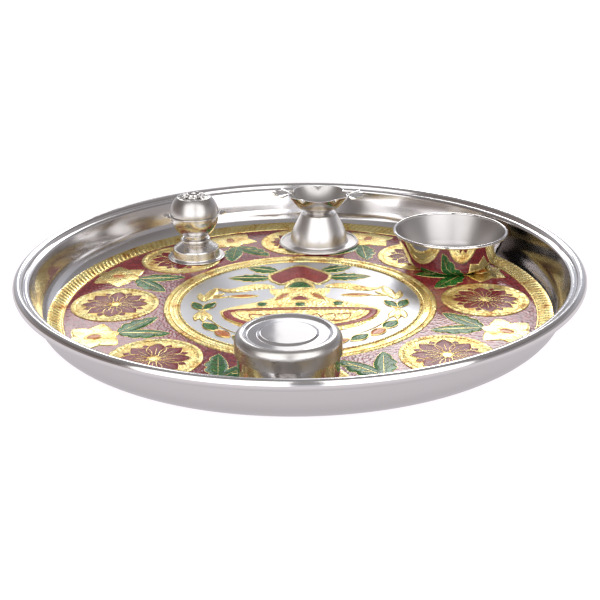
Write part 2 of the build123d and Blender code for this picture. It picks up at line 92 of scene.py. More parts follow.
lens = bpy.data.cameras.new("camera")
lens.sensor_width = 36.0
lens.lens = lens.sensor_width * focal_pixels / picture_width
lens.clip_start = 0.01
camera = bpy.data.objects.new("camera", lens)
tilt = Matrix.Rotation(math.radians(camera_tilt), 4, "X")
roll = Matrix.Rotation(math.radians(camera_roll), 4, "Z")
camera.matrix_world = Matrix.Translation(camera_place * MM) @ tilt @ roll
bpy.context.scene.collection.objects.link(camera)
bpy.context.scene.camera = camera
bpy.context.scene.view_settings.view_transform = "Standard"
print("lens", round(lens.lens, 2), "mm")

# %% [markdown]
# ## The studio
# Polished steel shows its surroundings more than itself, so the room is designed with the object. Two soft
# panels lean in close in front, with a narrow gap between them: that gap is the thin grey line down the middle
# of the bright strip on the vessels. Four panels stand far behind, and the tray's floor mirrors them; the bright
# one at the right washes out the enamel at the front right.
# The world is a grey room for all but the camera, which sees plain white. Its two sides are darker, and warm at
# the left, so that round vessels get dark edges. Mirrors see a painted shadow: the floor's glow darker near the tray.

# %% Panels, room and floor
front_inner = (-17.0, 33.0)
front_width = 400.0
front_low, front_high = (-330.0, 20.0), (-150.0, 490.0)
front_level = 1.25
back_distance = 1300.0
back_panels = {
    "left": (-480.0, -230.0, 450.0, 1150.0, 2.3),
    "middle": (-45.0, 90.0, 440.0, 1150.0, 0.75),
    "right_low": (90.0, 248.0, 440.0, 572.0, 0.75),
    "right": (90.0, 440.0, 575.0, 1150.0, 5.2),
}


def panel(name, x0, x1, low, high, facing, level):
    """Soft panel from a low edge to a high edge, both (y, z); its power is 4 * area * level."""
    lamp = bpy.data.lights.new(name, "AREA")
    rise = np.array((0, high[0] - low[0], high[1] - low[1]))
    lamp.shape = "RECTANGLE"
    lamp.size = (x1 - x0) * MM
    lamp.size_y = np.linalg.norm(rise) * MM
    lamp.energy = 4 * lamp.size * lamp.size_y * level
    across = np.array((facing, 0, 0))
    up = rise / np.linalg.norm(rise)
    middle = np.array(((x0 + x1) / 2, (low[0] + high[0]) / 2, (low[1] + high[1]) / 2))
    stand = bpy.data.objects.new(name, lamp)
    turn = Matrix(np.stack((across, up, np.cross(across, up)), 1).tolist()).to_4x4()
    stand.matrix_world = Matrix.Translation(middle * MM) @ turn
    stand.visible_camera = False
    bpy.context.scene.collection.objects.link(stand)
    return stand


front_edges = {"left": (front_inner[0] - front_width, front_inner[0]),
               "right": (front_inner[1], front_inner[1] + front_width)}
for name, (x0, x1) in front_edges.items():
    panel("front_panel_" + name, x0, x1, front_low, front_high, 1, front_level)
for name, (x0, x1, z0, z1, level) in back_panels.items():
    panel("back_panel_" + name, x0, x1, (back_distance, z0), (back_distance, z1), -1, level)


def node(tree, kind, sockets=None, **settings):
    """New shader node with its settings, and its inputs set to values or linked to other nodes' outputs."""
    made = tree.nodes.new(kind)
    for key, value in settings.items():
        setattr(made, key, value)
    for key, value in (sockets or {}).items():
        if isinstance(value, bpy.types.NodeSocket):
            tree.links.new(value, made.inputs[key])
        else:
            made.inputs[key].default_value = value
    return made


def ramp(tree, value, stops):
    """Colour ramp over a value, from pairs of place and colour."""
    made = node(tree, "ShaderNodeValToRGB", {"Fac": value})
    while len(made.color_ramp.elements) < len(stops):
        made.color_ramp.elements.new(0.5)
    for element, (place, colour) in zip(made.color_ramp.elements, stops):
        element.position = place
        element.color = (*colour, 1)
    return made.outputs["Color"]


def maths(tree, operation, *values):
    """Result of a maths node over numbers or other nodes' outputs."""
    return node(tree, "ShaderNodeMath", dict(enumerate(values)), operation=operation).outputs[0]


def remap(tree, value, source, target):
    """A value that runs over one range, mapped to another."""
    return node(tree, "ShaderNodeMapRange", {"Value": value, "From Min": source[0], "From Max": source[1],
                                             "To Min": target[0], "To Max": target[1]}).outputs[0]


def noise(tree, place, scale, detail, roughness=0.5):
    """Noise over a place, from 0 to 1."""
    return node(tree, "ShaderNodeTexNoise", {"Vector": place, "Scale": scale, "Detail": detail,
                                             "Roughness": roughness}).outputs["Fac"]


room_stops = ((0.0, (0.62, 0.62, 0.64)), (0.5, (0.66, 0.65, 0.67)), (0.687, (0.60, 0.63, 0.71)),
              (0.70, (0.34, 0.33, 0.34)), (1.0, (0.33, 0.32, 0.32)))
side_stops = ((0.05, (0.42, 0.35, 0.30)), (0.32, (1.0, 1.0, 1.0)), (0.68, (1.0, 1.0, 1.0)),
              (0.95, (0.60, 0.56, 0.53)))
world = bpy.data.worlds.new("studio")
bpy.context.scene.world = world
world.use_nodes = True
room = world.node_tree
room.nodes.clear()
direction = node(room, "ShaderNodeSeparateXYZ", {0: node(room, "ShaderNodeTexCoord").outputs["Generated"]}).outputs
height, sideways = (maths(room, "MULTIPLY_ADD", direction[axis], 0.5, 0.5) for axis in "ZX")
tint = node(room, "ShaderNodeVectorMath", {0: ramp(room, height, room_stops), 1: ramp(room, sideways, side_stops)},
            operation="MULTIPLY")
grey_room = node(room, "ShaderNodeBackground", {"Color": tint.outputs[0], "Strength": 1.0})
white = node(room, "ShaderNodeBackground", {"Color": (1, 1, 1, 1), "Strength": 1.0})
seen = node(room, "ShaderNodeMixShader", {0: node(room, "ShaderNodeLightPath").outputs["Is Camera Ray"],
                                          1: grey_room.outputs[0], 2: white.outputs[0]})
node(room, "ShaderNodeOutputWorld", {"Surface": seen.outputs[0]})

floor_size = 9000.0
floor_drop = 0.05
seen_range, seen_level, seen_share = (0.35, 1.0), (1.4, 1.75), 0.62
# Glow that mirrors see, lower close to the tray: a painted shadow of the tray on the paper floor.
mirrored_shadow_range, mirrored_shadow_level = (0.130, 0.165), (0.62, 0.86)
glow_colour = (1, 0.955, 0.995, 1)
floor_colour = (0.86, 0.86, 0.87, 1)
floor_mesh = bpy.data.meshes.new("floor")
floor_edge = np.array(((-1, -1, 0), (1, -1, 0), (1, 1, 0), (-1, 1, 0))) * floor_size / 2
floor_edge[:, 2] = -floor_drop
floor_mesh.from_pydata((floor_edge * MM).tolist(), [], [(0, 1, 2, 3)])
floor = bpy.data.objects.new("floor", floor_mesh)
bpy.context.scene.collection.objects.link(floor)
paper = bpy.data.materials.new("white_paper")
paper.use_nodes = True
sheet = paper.node_tree
sheet.nodes.clear()
path = node(sheet, "ShaderNodeLightPath").outputs
mirrored_ray = maths(sheet, "MAXIMUM", path["Is Glossy Ray"], path["Is Transmission Ray"])
share_of_glow = maths(sheet, "MULTIPLY_ADD", path["Is Camera Ray"], seen_share, mirrored_ray)
place = node(sheet, "ShaderNodeTexCoord").outputs["Object"]
away = node(sheet, "ShaderNodeVectorMath", {0: place}, operation="LENGTH").outputs["Value"]
mirrored_glow_painted_shadow = remap(sheet, away, mirrored_shadow_range, mirrored_shadow_level)
seen_glow = remap(sheet, away, seen_range, seen_level)
glow = remap(sheet, path["Is Camera Ray"], (0.0, 1.0), (mirrored_glow_painted_shadow, seen_glow))
mix = node(sheet, "ShaderNodeMixShader", {
    0: share_of_glow,
    1: node(sheet, "ShaderNodeBsdfDiffuse", {"Color": floor_colour}).outputs[0],
    2: node(sheet, "ShaderNodeEmission", {"Color": glow_colour, "Strength": glow}).outputs[0]})
node(sheet, "ShaderNodeOutputMaterial", {"Surface": mix.outputs[0]})
floor_mesh.materials.append(paper)
print("panels", len(front_edges) + len(back_panels))

# %% [markdown]
# ## Surfaces from grids
# Every piece is a grid of points worked out at once with numpy: rows run along or round the piece, and columns
# run across it. A patch is such a grid with a note of which way it closes on itself. Where a row or a column
# shrinks to one point, such as a vessel's axis, its doubled points are merged, which closes the pole.
# Recalculating the normals then turns every closed shell outwards.

# %% Patches and pieces
def grid_faces(rows, columns, close_rows, close_columns):
    """Quads between neighbours of a grid, by index arithmetic: point (i, j) is number i * columns + j."""
    i, j = np.meshgrid(np.arange(rows if close_rows else rows - 1),
                       np.arange(columns if close_columns else columns - 1), indexing="ij")
    i_next, j_next = (i + 1) % rows, (j + 1) % columns
    quads = (i * columns + j, i_next * columns + j, i_next * columns + j_next, i * columns + j_next)
    return np.stack(quads, -1).reshape(-1, 4)


merge_distance = 2e-7
crease_angle = 50.0


def dress(name, mesh, body, nodes):
    """Smooth object of a mesh that rides on a body, and stands in for CAD nodes where it has any."""
    mesh.shade_smooth()
    mesh.set_sharp_from_angle(angle=math.radians(crease_angle))
    piece = bpy.data.objects.new(name, mesh)
    bpy.context.scene.collection.objects.link(piece)
    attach(piece, body)
    if nodes:
        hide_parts(*nodes)
    print(name, len(mesh.polygons), "faces")
    return piece


def make_piece(name, patches, finishes, body, nodes=()):
    """One mesh from patches of (points, close_rows, close_columns, finish number), riding on a body."""
    points, faces, numbers, start = [], [], [], 0
    for grid, close_rows, close_columns, number in patches:
        rows, columns = grid.shape[:2]
        quads = grid_faces(rows, columns, close_rows, close_columns)
        points.append(grid.reshape(-1, 3))
        faces.append(quads + start)
        numbers.append(np.full(len(quads), number))
        start += rows * columns
    mesh = bpy.data.meshes.new(name)
    mesh.from_pydata((np.concatenate(points) * MM).tolist(), [], np.concatenate(faces).tolist())
    mesh.polygons.foreach_set("material_index", np.concatenate(numbers).astype(np.int32))
    for finish in finishes:
        mesh.materials.append(finish)
    shape = bmesh.new()
    shape.from_mesh(mesh)
    bmesh.ops.remove_doubles(shape, verts=shape.verts, dist=merge_distance)
    bmesh.ops.recalc_face_normals(shape, faces=shape.faces)
    shape.to_mesh(mesh)
    shape.free()
    return dress(name, mesh, body, nodes)


# %% [markdown]
# ## Spun sheet
# The pan and the vessels are spun: a flat disc of sheet is pressed over a turning former. In the model that is
# a profile turned about an axis. The profile is a line with rounded bends, and its parallel one sheet away.
# Two support points close to each bend keep the shading of long flat stretches true, which a mirror finish needs.

# %% Profiles and turning
bend_steps = 10
support_gap = 0.2


def rounded(points, bends):
    """Polyline with arcs at its inner corners: an arc of radius b leaves both sides at b * tan(turn / 2)."""
    points = np.asarray(points, float)
    stretches = [points[:1]]
    for before, corner, after, bend in zip(points, points[1:], points[2:], bends):
        into = (corner - before) / np.linalg.norm(corner - before)
        out = (after - corner) / np.linalg.norm(after - corner)
        turn = math.acos(np.clip(into @ out, -1, 1))
        side = math.copysign(1, into[0] * out[1] - into[1] * out[0])
        inward = side * np.array((-into[1], into[0]))
        start = corner - bend * math.tan(turn / 2) * into
        sweep = np.linspace(0, turn, bend_steps + 1)[:, None]
        stretches.append(start + bend * (inward - np.cos(sweep) * inward + np.sin(sweep) * into))
    stretches.append(points[-1:])
    line = [stretches[0]]
    for last, following in zip(stretches, stretches[1:]):
        run = following[0] - last[-1]
        length = np.linalg.norm(run)
        if length > 4 * support_gap:
            step = run / length * support_gap
            line.append(np.array((last[-1] + step, following[0] - step)))
        line.append(following)
    return np.concatenate(line)


def left_normals(line):
    """Unit normals to the left of a line, from the slopes on both sides of each point, the nearer one counting more."""
    steps = np.linalg.norm(np.diff(line, axis=0), axis=1)
    along = np.gradient(line, np.concatenate(((0,), np.cumsum(steps))), axis=0)
    along /= np.linalg.norm(along, axis=1)[:, None]
    return np.stack((-along[:, 1], along[:, 0]), 1)


def round_end(a, b, steps=6):
    """Half circle from a to b, bulging to the right of that step: the smoothed edge of a sheet."""
    middle, half = (a + b) / 2, (a - b) / 2
    out = np.array((-half[1], half[0]))
    angle = np.linspace(0, math.pi, steps + 1)[1:-1, None]
    return middle + np.cos(angle) * half + np.sin(angle) * out


def sheet_profile(line, thickness):
    """Section of bent sheet: the line, a rounded edge, and its parallel to the left back to the start."""
    far = line + left_normals(line) * thickness
    stretches = [line, round_end(line[-1], far[-1]), far[::-1]]
    if line[0, 0] > 0:
        stretches.append(round_end(far[0], line[0]))
    return np.concatenate(stretches)


def around(radius, angle, level):
    """Points about an upright axis: x = r cos(a), y = r sin(a), z = level."""
    return np.stack(np.broadcast_arrays(radius * np.cos(angle), radius * np.sin(angle), level), -1)


def turned(profile, foot=(0, 0, 0), steps=256, number=0, closed=True):
    """Profile of radius and height turned about the upright axis through a foot."""
    angle = np.linspace(0, 2 * math.pi, steps, endpoint=False)[:, None]
    grid = around(profile[:, 0], angle, profile[:, 1]) + foot
    return grid, True, closed and profile[0, 0] > 0, number


def round_wire(radius, level, thickness, sides=16):
    """Circle of wire or bead section about a point of the profile plane."""
    angle = np.linspace(0, 2 * math.pi, sides, endpoint=False)
    return np.stack((radius + thickness / 2 * np.cos(angle), level + thickness / 2 * np.sin(angle)), 1)


def arc(middle, radius, start, end, steps=16):
    """Points of an arc in the profile plane, angles in degrees."""
    angle = np.radians(np.linspace(start, end, steps + 1))
    return np.stack((middle[0] + radius * np.cos(angle), middle[1] + radius * np.sin(angle)), 1)


print("profile tools ready")

# %% [markdown]
# ## Steel
# Polished stainless steel is a slightly warm grey mirror. What makes it look real is the small print of how it
# was made and used: fine rings from polishing on a lathe, a faint waviness of the sheet, and wiping marks.
# All three are noise on the piece's own coordinates. The rings read only the radius and the height, so they
# follow each vessel round its own axis. Colour and metal stay constant, so they sit on the shader's sockets.
# The tray and the outside of the small bowl are mirrors; most other steel here is satin, rougher and softer.
# Darker copies of the same steel are painted shade: on the bare floor, also bluer as a painted reflection, on the
# ball's upper half, inside the lamp bowl and the small bowl, and on the lid's skirt.

# %% Steel finishes
ring_scale, wipe_scale, wave_scale = 2600.0, 90.0, 28.0
mark_range = (0.12, 0.42)


def new_finish(name):
    """Empty material: its node tree and its shader."""
    finish = bpy.data.materials.new(name)
    finish.use_nodes = True
    return finish, finish.node_tree, finish.node_tree.nodes["Principled BSDF"]


def steel(name, axis, colour, smooth, rough, ring_depth, wave_depth):
    """Polished sheet turned about an axis: rings and wiping marks in roughness, rings and waves in bump."""
    finish, tree, shader = new_finish(name)
    place = node(tree, "ShaderNodeTexCoord").outputs["Object"]
    centred = node(tree, "ShaderNodeMapping", {"Vector": place, "Location": (-axis[0] * MM, -axis[1] * MM, 0)})
    flat = node(tree, "ShaderNodeVectorMath", {0: centred.outputs[0], 1: (1, 1, 0)}, operation="MULTIPLY")
    radius = node(tree, "ShaderNodeVectorMath", {0: flat.outputs[0]}, operation="LENGTH")
    level = node(tree, "ShaderNodeSeparateXYZ", {0: place})
    round_place = node(tree, "ShaderNodeCombineXYZ", {"X": radius.outputs["Value"], "Y": level.outputs["Z"]})
    rings = noise(tree, round_place.outputs[0], ring_scale, 3.0)
    marks = maths(tree, "MULTIPLY", rings, noise(tree, place, wipe_scale, 5.0, 0.65))
    fine = node(tree, "ShaderNodeBump", {"Height": rings, "Distance": ring_depth * MM})
    broad = node(tree, "ShaderNodeBump", {"Height": noise(tree, place, wave_scale, 1.0),
                                          "Distance": wave_depth * MM, "Normal": fine.outputs[0]})
    tree.links.new(remap(tree, marks, mark_range, (smooth, rough)), shader.inputs["Roughness"])
    tree.links.new(broad.outputs[0], shader.inputs["Normal"])
    shader.inputs["Base Color"].default_value = (*colour, 1)
    shader.inputs["Metallic"].default_value = 1.0
    return finish


bright_steel = (0.74, 0.72, 0.72)
vessel_steel = (0.72, 0.70, 0.69)
# Darker copies of the same steel, painted shade; the floor's copy is also bluer, a painted reflection.
shaded_floor_steel = (0.57, 0.575, 0.60)
shaded_steel = (0.60, 0.58, 0.56)
shaded_inside_steel = (0.52, 0.50, 0.49)
tray_mirror = steel("tray_mirror", (0, 0), bright_steel, 0.10, 0.17, 0.0003, 0.05)
floor_shaded_satin = steel("floor_shaded_satin", (0, 0), shaded_floor_steel, 0.36, 0.43, 0.0003, 0.015)
dome_shaded_satin = steel("dome_shaded_satin", incense_foot, shaded_steel, 0.28, 0.35, 0.0005, 0.01)
incense_satin = steel("incense_satin", incense_foot, vessel_steel, 0.20, 0.29, 0.0006, 0.015)
lamp_satin = steel("lamp_satin", lamp_foot, vessel_steel, 0.16, 0.25, 0.0006, 0.01)
lamp_cone_satin = steel("lamp_cone_satin", lamp_foot, vessel_steel, 0.31, 0.39, 0.0004, 0.006)
lamp_inside_shaded_satin = steel("lamp_inside_shaded_satin", lamp_foot, shaded_steel, 0.40, 0.48, 0.0004, 0.008)
bowl_mirror = steel("bowl_mirror", bowl_foot, vessel_steel, 0.03, 0.10, 0.0004, 0.015)
bowl_shaded_satin = steel("bowl_shaded_satin", bowl_foot, shaded_inside_steel, 0.33, 0.40, 0.0003, 0.006)
box_mirror = steel("box_mirror", box_foot, bright_steel, 0.05, 0.11, 0.0003, 0.012)
cup_satin = steel("cup_satin", box_foot, vessel_steel, 0.14, 0.22, 0.0006, 0.015)
box_shaded_satin = steel("box_shaded_satin", box_foot, shaded_steel, 0.26, 0.36, 0.001, 0.015)
print("steel finishes", sum(m.name.endswith(("mirror", "satin")) for m in bpy.data.materials))

# %% [markdown]
# ## The pan
# The pan is one disc of sheet: a flat floor, a round corner, a wall that leans out, a narrow ledge and a rim
# rolled into a hollow bead. The bead's edge stops just short of the wall, which leaves the dark line under it.
# The wall bows a little: it leans out more near the rim than near the floor. One line through the middle of the
# sheet describes all of that, and the sheet is laid half to each side.

# %% Pan
pan_sheet = 0.7
corner_bend = 12.0
wall_lean = 11.0
wall_flare = 1.5
flare_bend = 120.0
ledge_width = 2.1
ledge_bend = 1.2
bead_diameter = 5.0
curl_end = -128.0
curl_start = 158.0
satin_margin = 0.5

bead_middle = np.array((rim_radius - bead_diameter / 2, tray_height - bead_diameter / 2))
ledge_level = bead_middle[1] - pan_sheet / 2
wall_top = bead_middle[0] - bead_diameter / 2 - ledge_width
wall_foot = wall_top - ledge_level * math.tan(math.radians(wall_lean))
flat_radius = wall_foot - corner_bend * math.tan(math.radians(90 - wall_lean) / 2)
steep, flared = (math.tan(math.radians(wall_lean + side * wall_flare)) for side in (-1, 1))
bent_foot = flat_radius + corner_bend * math.tan(math.radians(90 - wall_lean + wall_flare) / 2)
flare_level = (bent_foot - wall_top + ledge_level * flared) / (flared - steep)
curl_radius = bead_diameter / 2 - pan_sheet / 2
curl = arc(bead_middle, curl_radius, curl_start, curl_end, 40)
pan_line = rounded(((0, 0), (bent_foot, 0), (bent_foot + flare_level * steep, flare_level), (wall_top, ledge_level),
                    (bead_middle[0] - curl_radius, ledge_level)), (corner_bend, flare_bend, ledge_bend))
pan_middle = pan_line + left_normals(pan_line) * pan_sheet / 2
pan_middle[0, 0] = 0
rim_line = np.concatenate((pan_middle[:-1], curl))
sides = left_normals(rim_line) * pan_sheet / 2
pan_profile = np.concatenate((rim_line - sides, round_end(rim_line[-1] - sides[-1], rim_line[-1] + sides[-1]),
                              (rim_line + sides)[::-1]))
pan_profile[[0, -1], 0] = 0
pan_grid, *_ = turned(pan_profile, steps=480)
floor_start = len(pan_profile) - 1 - int(np.argmax(pan_profile[::-1, 0] > flat_radius - satin_margin))
pan_patches = [(pan_grid[:, :floor_start + 1], True, False, 0), (pan_grid[:, floor_start:], True, False, 1)]
make_piece("steel_pan", pan_patches, [tray_mirror, floor_shaded_satin], "tray", ["tray_pan"])
print("flat floor radius", round(flat_radius, 2))

# %% [markdown]
# ## Gilding and enamel
# The floor's relief is pressed into the sheet, then lacquered gold, and its hollows are filled with coloured
# enamel. Gold lacquer is a metal with a soft gloss over a stippled ground; the brown in its hollows is painted
# shade, which the patches of noise spread unevenly. Enamel is a glossy coat whose colour pools a little darker in
# its hollows. Both are one function: a stipple of about one dot per millimetre, and patches of noise that shift
# the colour and the gloss.

# %% Gilding and enamel finishes
gold_light = (1.0, 0.85, 0.38)
gold_dark = (0.90, 0.67, 0.24)
# Painted shade: the brown that the gold takes between the stipple's dots and in low patches.
gold_shade_brown = (0.50, 0.22, 0.05)
gold_tone_and_shade_stops = ((0.15, gold_shade_brown), (0.29, gold_dark), (0.48, gold_light))
patch_range = (0.3, 0.7)


def coat(name, scale, depth, patch_noise, dot_share, stops, shine):
    """Stippled coat: colour over patches + dot_share * distance to the nearest dot, roughness over the patches."""
    finish, tree, shader = new_finish(name)
    place = node(tree, "ShaderNodeTexCoord").outputs["Object"]
    dots = node(tree, "ShaderNodeTexVoronoi", {"Vector": place, "Scale": scale}).outputs["Distance"]
    patches = noise(tree, place, *patch_noise)
    colour = ramp(tree, maths(tree, "MULTIPLY_ADD", dots, dot_share, patches), stops)
    bump = node(tree, "ShaderNodeBump", {"Height": dots, "Distance": depth * MM, "Strength": 1.0})
    tree.links.new(colour, shader.inputs["Base Color"])
    tree.links.new(remap(tree, patches, patch_range, shine), shader.inputs["Roughness"])
    tree.links.new(bump.outputs[0], shader.inputs["Normal"])
    return finish, shader


def gilding(name, smooth, rough, depth, scale=950.0):
    """Gold lacquer: uneven patches of colour, painted brown shade between the stipple's dots, and a stipple of the
    given depth.
    """
    finish, shader = coat(name, scale, depth, (130.0, 4.0), -0.22, gold_tone_and_shade_stops, (rough, smooth))
    shader.inputs["Metallic"].default_value = 1.0
    return finish


def enamel(name, light, dark, smooth, rough, depth, gloss=0.35, scale=950.0):
    """Glossy coloured coat: darker away from each dot of the stipple, and uneven over a few millimetres."""
    finish, shader = coat(name, scale, depth, (210.0, 5.0, 0.7), 0.5, ((0.5, light), (0.95, dark)), (smooth, rough))
    shader.inputs["Specular IOR Level"].default_value = gloss
    return finish


gold_ground = gilding("gold_ground", 0.26, 0.38, 0.28, 700.0)
gold_smooth = gilding("gold_smooth", 0.20, 0.32, 0.04)
maroon_ground = enamel("maroon_ground", (0.40, 0.045, 0.05), (0.15, 0.015, 0.02), 0.06, 0.16, 0.07, 0.6, 700.0)
maroon_fill = enamel("maroon_fill", (0.34, 0.03, 0.035), (0.15, 0.012, 0.018), 0.16, 0.3, 0.03, 0.18)
red_fill = enamel("red_fill", (0.46, 0.05, 0.04), (0.24, 0.02, 0.018), 0.24, 0.38, 0.03, 0.3)
green_fill = enamel("green_fill", (0.06, 0.26, 0.045), (0.010, 0.07, 0.012), 0.10, 0.24, 0.06, 0.24)
orange_fill = enamel("orange_fill", (0.76, 0.26, 0.06), (0.50, 0.14, 0.03), 0.12, 0.24, 0.02)
print("coat finishes ready")

# %% [markdown]
# ## Rope border
# A band of slanted ribs runs up the pan's corner, like a rope laid round the floor. Each rib is half round, and
# the next starts where it ends. The band's place is an angle up the corner's bend, and the ribs are added to it
# as a height that depends on the way round and the way across.

# %% Rope
field_top = 1.0
floor_level = pan_sheet
rope_sweep = 37.0
rope_height = 0.9
rope_ribs = 240
rope_slant = 1.3
rope_steps = 12
rope_valley = 0.12
rope_gap = 0.02
line_bead_size = 0.9

across = np.linspace(0, 1, 12)
way_round = np.linspace(0, 1, rope_ribs * rope_steps, endpoint=False)[:, None]
rib = 2 * np.mod(way_round * rope_ribs + rope_slant * across, 1) - 1
rise = rope_height * np.sin(math.pi * across) ** 0.6 * (rope_valley + (1 - rope_valley) * np.sqrt(1 - rib ** 2))
rise = np.concatenate((rise, np.zeros((len(rise), 4))), 1)
sweep = np.radians(rope_sweep * np.concatenate((across, np.linspace(1, 0, 6)[1:-1])))
reach = corner_bend - pan_sheet - rope_gap - rise
rope_radius = flat_radius + reach * np.sin(sweep)
angle = 2 * math.pi * way_round
rope = around(rope_radius, angle, corner_bend - reach * np.cos(sweep))
line_bead = turned(round_wire(flat_radius - 0.5, field_top, line_bead_size, 10), steps=320)
make_piece("gilt_rope", [(rope, True, True, 0), line_bead], [gold_smooth], "tray", ["rope_border"])

# %% [markdown]
# ## Enamel field and the gilt ring
# The maroon field is a flat ring of enamel. Inside it lies a gilt ring round the bare middle of the floor: a
# granulated bead outside, a smooth hollow band, and a fine dotted bead inside. The beads are bumps in a height
# that depends on the radius, times a row of half-round grains that depends on the way round.

# %% Field and ring
ring_width = 8.5
ring_radius = corners("medallion_ring")[1][0]
bare_radius = ring_radius - ring_width
field_radius = corners("field_enamel")[1][0]
edge = 0.12
under_rope = flat_radius + 0.2
field_line = rounded(((ring_radius, floor_level), (under_rope, floor_level), (under_rope, field_top),
                      (ring_radius, field_top)), (edge, edge))
make_piece("maroon_field", [turned(field_line, steps=256)], [maroon_ground], "tray", ["field_enamel"])

outer_bead = 2.7
inner_bead = 1.5
ring_line = 1.0
ring_plate = 0.26
outer_grains = 230
inner_grains = 200
ring_steps = 1600
dot_share, line_share, band_share = 0.95, 0.55, 0.42


def half_round(value, width):
    """Half circle of height 1 over a strip of the given width, and 0 outside it."""
    return np.sqrt(np.clip(1 - (2 * value / width) ** 2, 0, None))


def ring_patch(start, end, steps, height, number):
    """Closed ring between two radii, its top raised by a height over the way round and the radius."""
    way = np.linspace(start, end, steps)
    angle = np.linspace(0, 2 * math.pi, ring_steps, endpoint=False)[:, None]
    top = ring_plate + height(angle, way)
    top[:, [0, -1]] = 0
    return around(way, angle, floor_level + top), True, True, number


bead_rise = seat_level - floor_level - ring_plate
bead_start = ring_radius - outer_bead


def inner_part(angle, way):
    """Dotted bead, a thin line and a flat band with a raised edge."""
    grains = 0.3 + 0.7 * np.abs(np.cos(inner_grains / 2 * angle)) ** 0.7
    dotted = half_round(way - bare_radius - inner_bead / 2, inner_bead) * grains
    line = half_round(way - bare_radius - inner_bead - 0.9, ring_line)
    band = half_round(way - bead_start + 1.7, 2.8) ** 0.4
    return bead_rise * (dot_share * dotted + line_share * line + band_share * band)


def outer_part(angle, way):
    """Bead of coarse grains, set in two rows that alternate."""
    place = way - bead_start - outer_bead / 2
    grains = np.abs(np.cos(outer_grains / 2 * angle + math.pi / 2 * (place > 0))) ** 0.6
    rows = np.abs(np.sin(math.pi * place / (outer_bead / 2))) ** 0.5
    return bead_rise * half_round(place, outer_bead * 1.04) * (0.62 + 0.38 * grains * rows)


ring_patches = [ring_patch(bare_radius, bead_start, 24, inner_part, 0),
                ring_patch(bead_start, ring_radius, 15, outer_part, 1)]
make_piece("gilt_floor_ring", ring_patches, [gold_smooth, gold_ground], "tray", ["medallion_ring"])

# %% [markdown]
# ## Blades, pillows and wires
# The figures are made of three kinds of relief. A blade is a leaf or petal: a line down its middle, a half width
# at each point of it, and a height across. A pillow is a filled outline that rises towards its middle. A wire is
# a half-round ridge along a path, as the thin gold lines that part the colours. All three close underneath.

# %% Relief tools
def blade(line, left, right, top, base, number=0):
    """Grid over a middle line: point = line + t * half width * normal, height = base + top(s, t), t from -1 to 1."""
    rows, columns = top.shape
    t = np.linspace(-1, 1, columns)
    side = np.where(t[None, :] < 0, right[:, None], left[:, None]) * t
    flat = line[:, None, :] + side[..., None] * left_normals(line)[:, None, :]
    over = np.concatenate((flat, base + top[..., None]), -1)
    under = np.concatenate((flat[:, [-1, 0]], np.full((rows, 2, 1), base)), -1)
    return np.concatenate((over, under), 1), False, True, number


def pillow(outline, middle, rise, base, number=0, rings=8, fullness=2.4):
    """Outline shrunk towards its middle while it rises: height = base + rise * sqrt(1 - share ** fullness)."""
    share = np.concatenate((np.linspace(0, 1, rings + 1) ** 0.7, (1.0, 0.0)))
    level = np.sqrt(np.clip(1 - share ** fullness, 0, None)) * rise
    level[-2:] = 0
    flat = middle + share[None, :, None] * (outline[:, None, :] - middle)
    height = np.broadcast_to(base + level, flat.shape[:2])
    return np.concatenate((flat, height[..., None]), -1), True, False, number


def wire(path, width, rise, base, closed=True, number=0, steps=5):
    """Half-round ridge along a path; an open one narrows to a point at both ends."""
    if closed:
        along = np.roll(path, -1, 0) - np.roll(path, 1, 0)
        taper = np.ones(len(path))
    else:
        along = np.gradient(path, axis=0)
        taper = np.sin(math.pi * np.linspace(0, 1, len(path))) ** 0.35
    along = along / np.linalg.norm(along, axis=1)[:, None]
    across = np.stack((-along[:, 1], along[:, 0]), 1)
    angle = np.linspace(0, math.pi, steps + 1)
    flat = path[:, None, :] + (np.cos(angle) * width / 2 * taper[:, None])[..., None] * across[:, None, :]
    height = base + rise * np.sin(angle) * taper[:, None]
    return np.concatenate((flat, height[..., None]), -1), closed, True, number


def placed(patch, turn=0.0, move=(0.0, 0.0)):
    """A patch turned about the upright axis by some degrees, and then moved over the floor."""
    grid, close_rows, close_columns, number = patch
    c, s = math.cos(math.radians(turn)), math.sin(math.radians(turn))
    x, y = grid[..., 0], grid[..., 1]
    moved = np.stack((c * x - s * y + move[0], s * x + c * y + move[1], grid[..., 2]), -1)
    return moved, close_rows, close_columns, number


def round_floor(patches, radius, angles):
    """Copies of a motif drawn with +X outwards, each turned to its angle and moved out to a radius."""
    copies = []
    for a in angles:
        spot = (radius * math.cos(math.radians(a)), radius * math.sin(math.radians(a)))
        copies += [placed(patch, a, spot) for patch in patches]
    return copies


def circle(radius, steps=96):
    """Points round a circle about the origin."""
    angle = np.linspace(0, 2 * math.pi, steps, endpoint=False)
    return radius * np.stack((np.cos(angle), np.sin(angle)), 1)


def crowned(share, t, ends, edges):
    """Height of a blade from 0 to 1: sin(pi * share) ** ends along it, sqrt(1 - t ** edges) across it."""
    return np.outer(np.sin(math.pi * share) ** ends, np.sqrt(1 - t ** edges))


def outline_of(line, left, right):
    """Closed outline at a half width to the left and to the right of a middle line."""
    normals = left_normals(line)
    return np.concatenate((line + left[:, None] * normals, (line - right[:, None] * normals)[-2:0:-1]))


def lens_half_width(share, width):
    """Half width of a pointed leaf: a parabola that is zero at both ends."""
    return width / 2 * 4 * share * (1 - share)


def leaf(start, end, width, rise, base, number=0, steps=14, columns=7, fold=0.3):
    """Pointed leaf with a low fold along its middle and rounded edges."""
    share = np.linspace(0, 1, steps)
    half = lens_half_width(share, width)
    t = np.linspace(-1, 1, columns)
    top = rise * crowned(share, t, 0.25, 4) * (1 - fold * np.exp(-(t / 0.22) ** 2))
    return blade(np.linspace(start, end, steps), half, half, top, base, number)


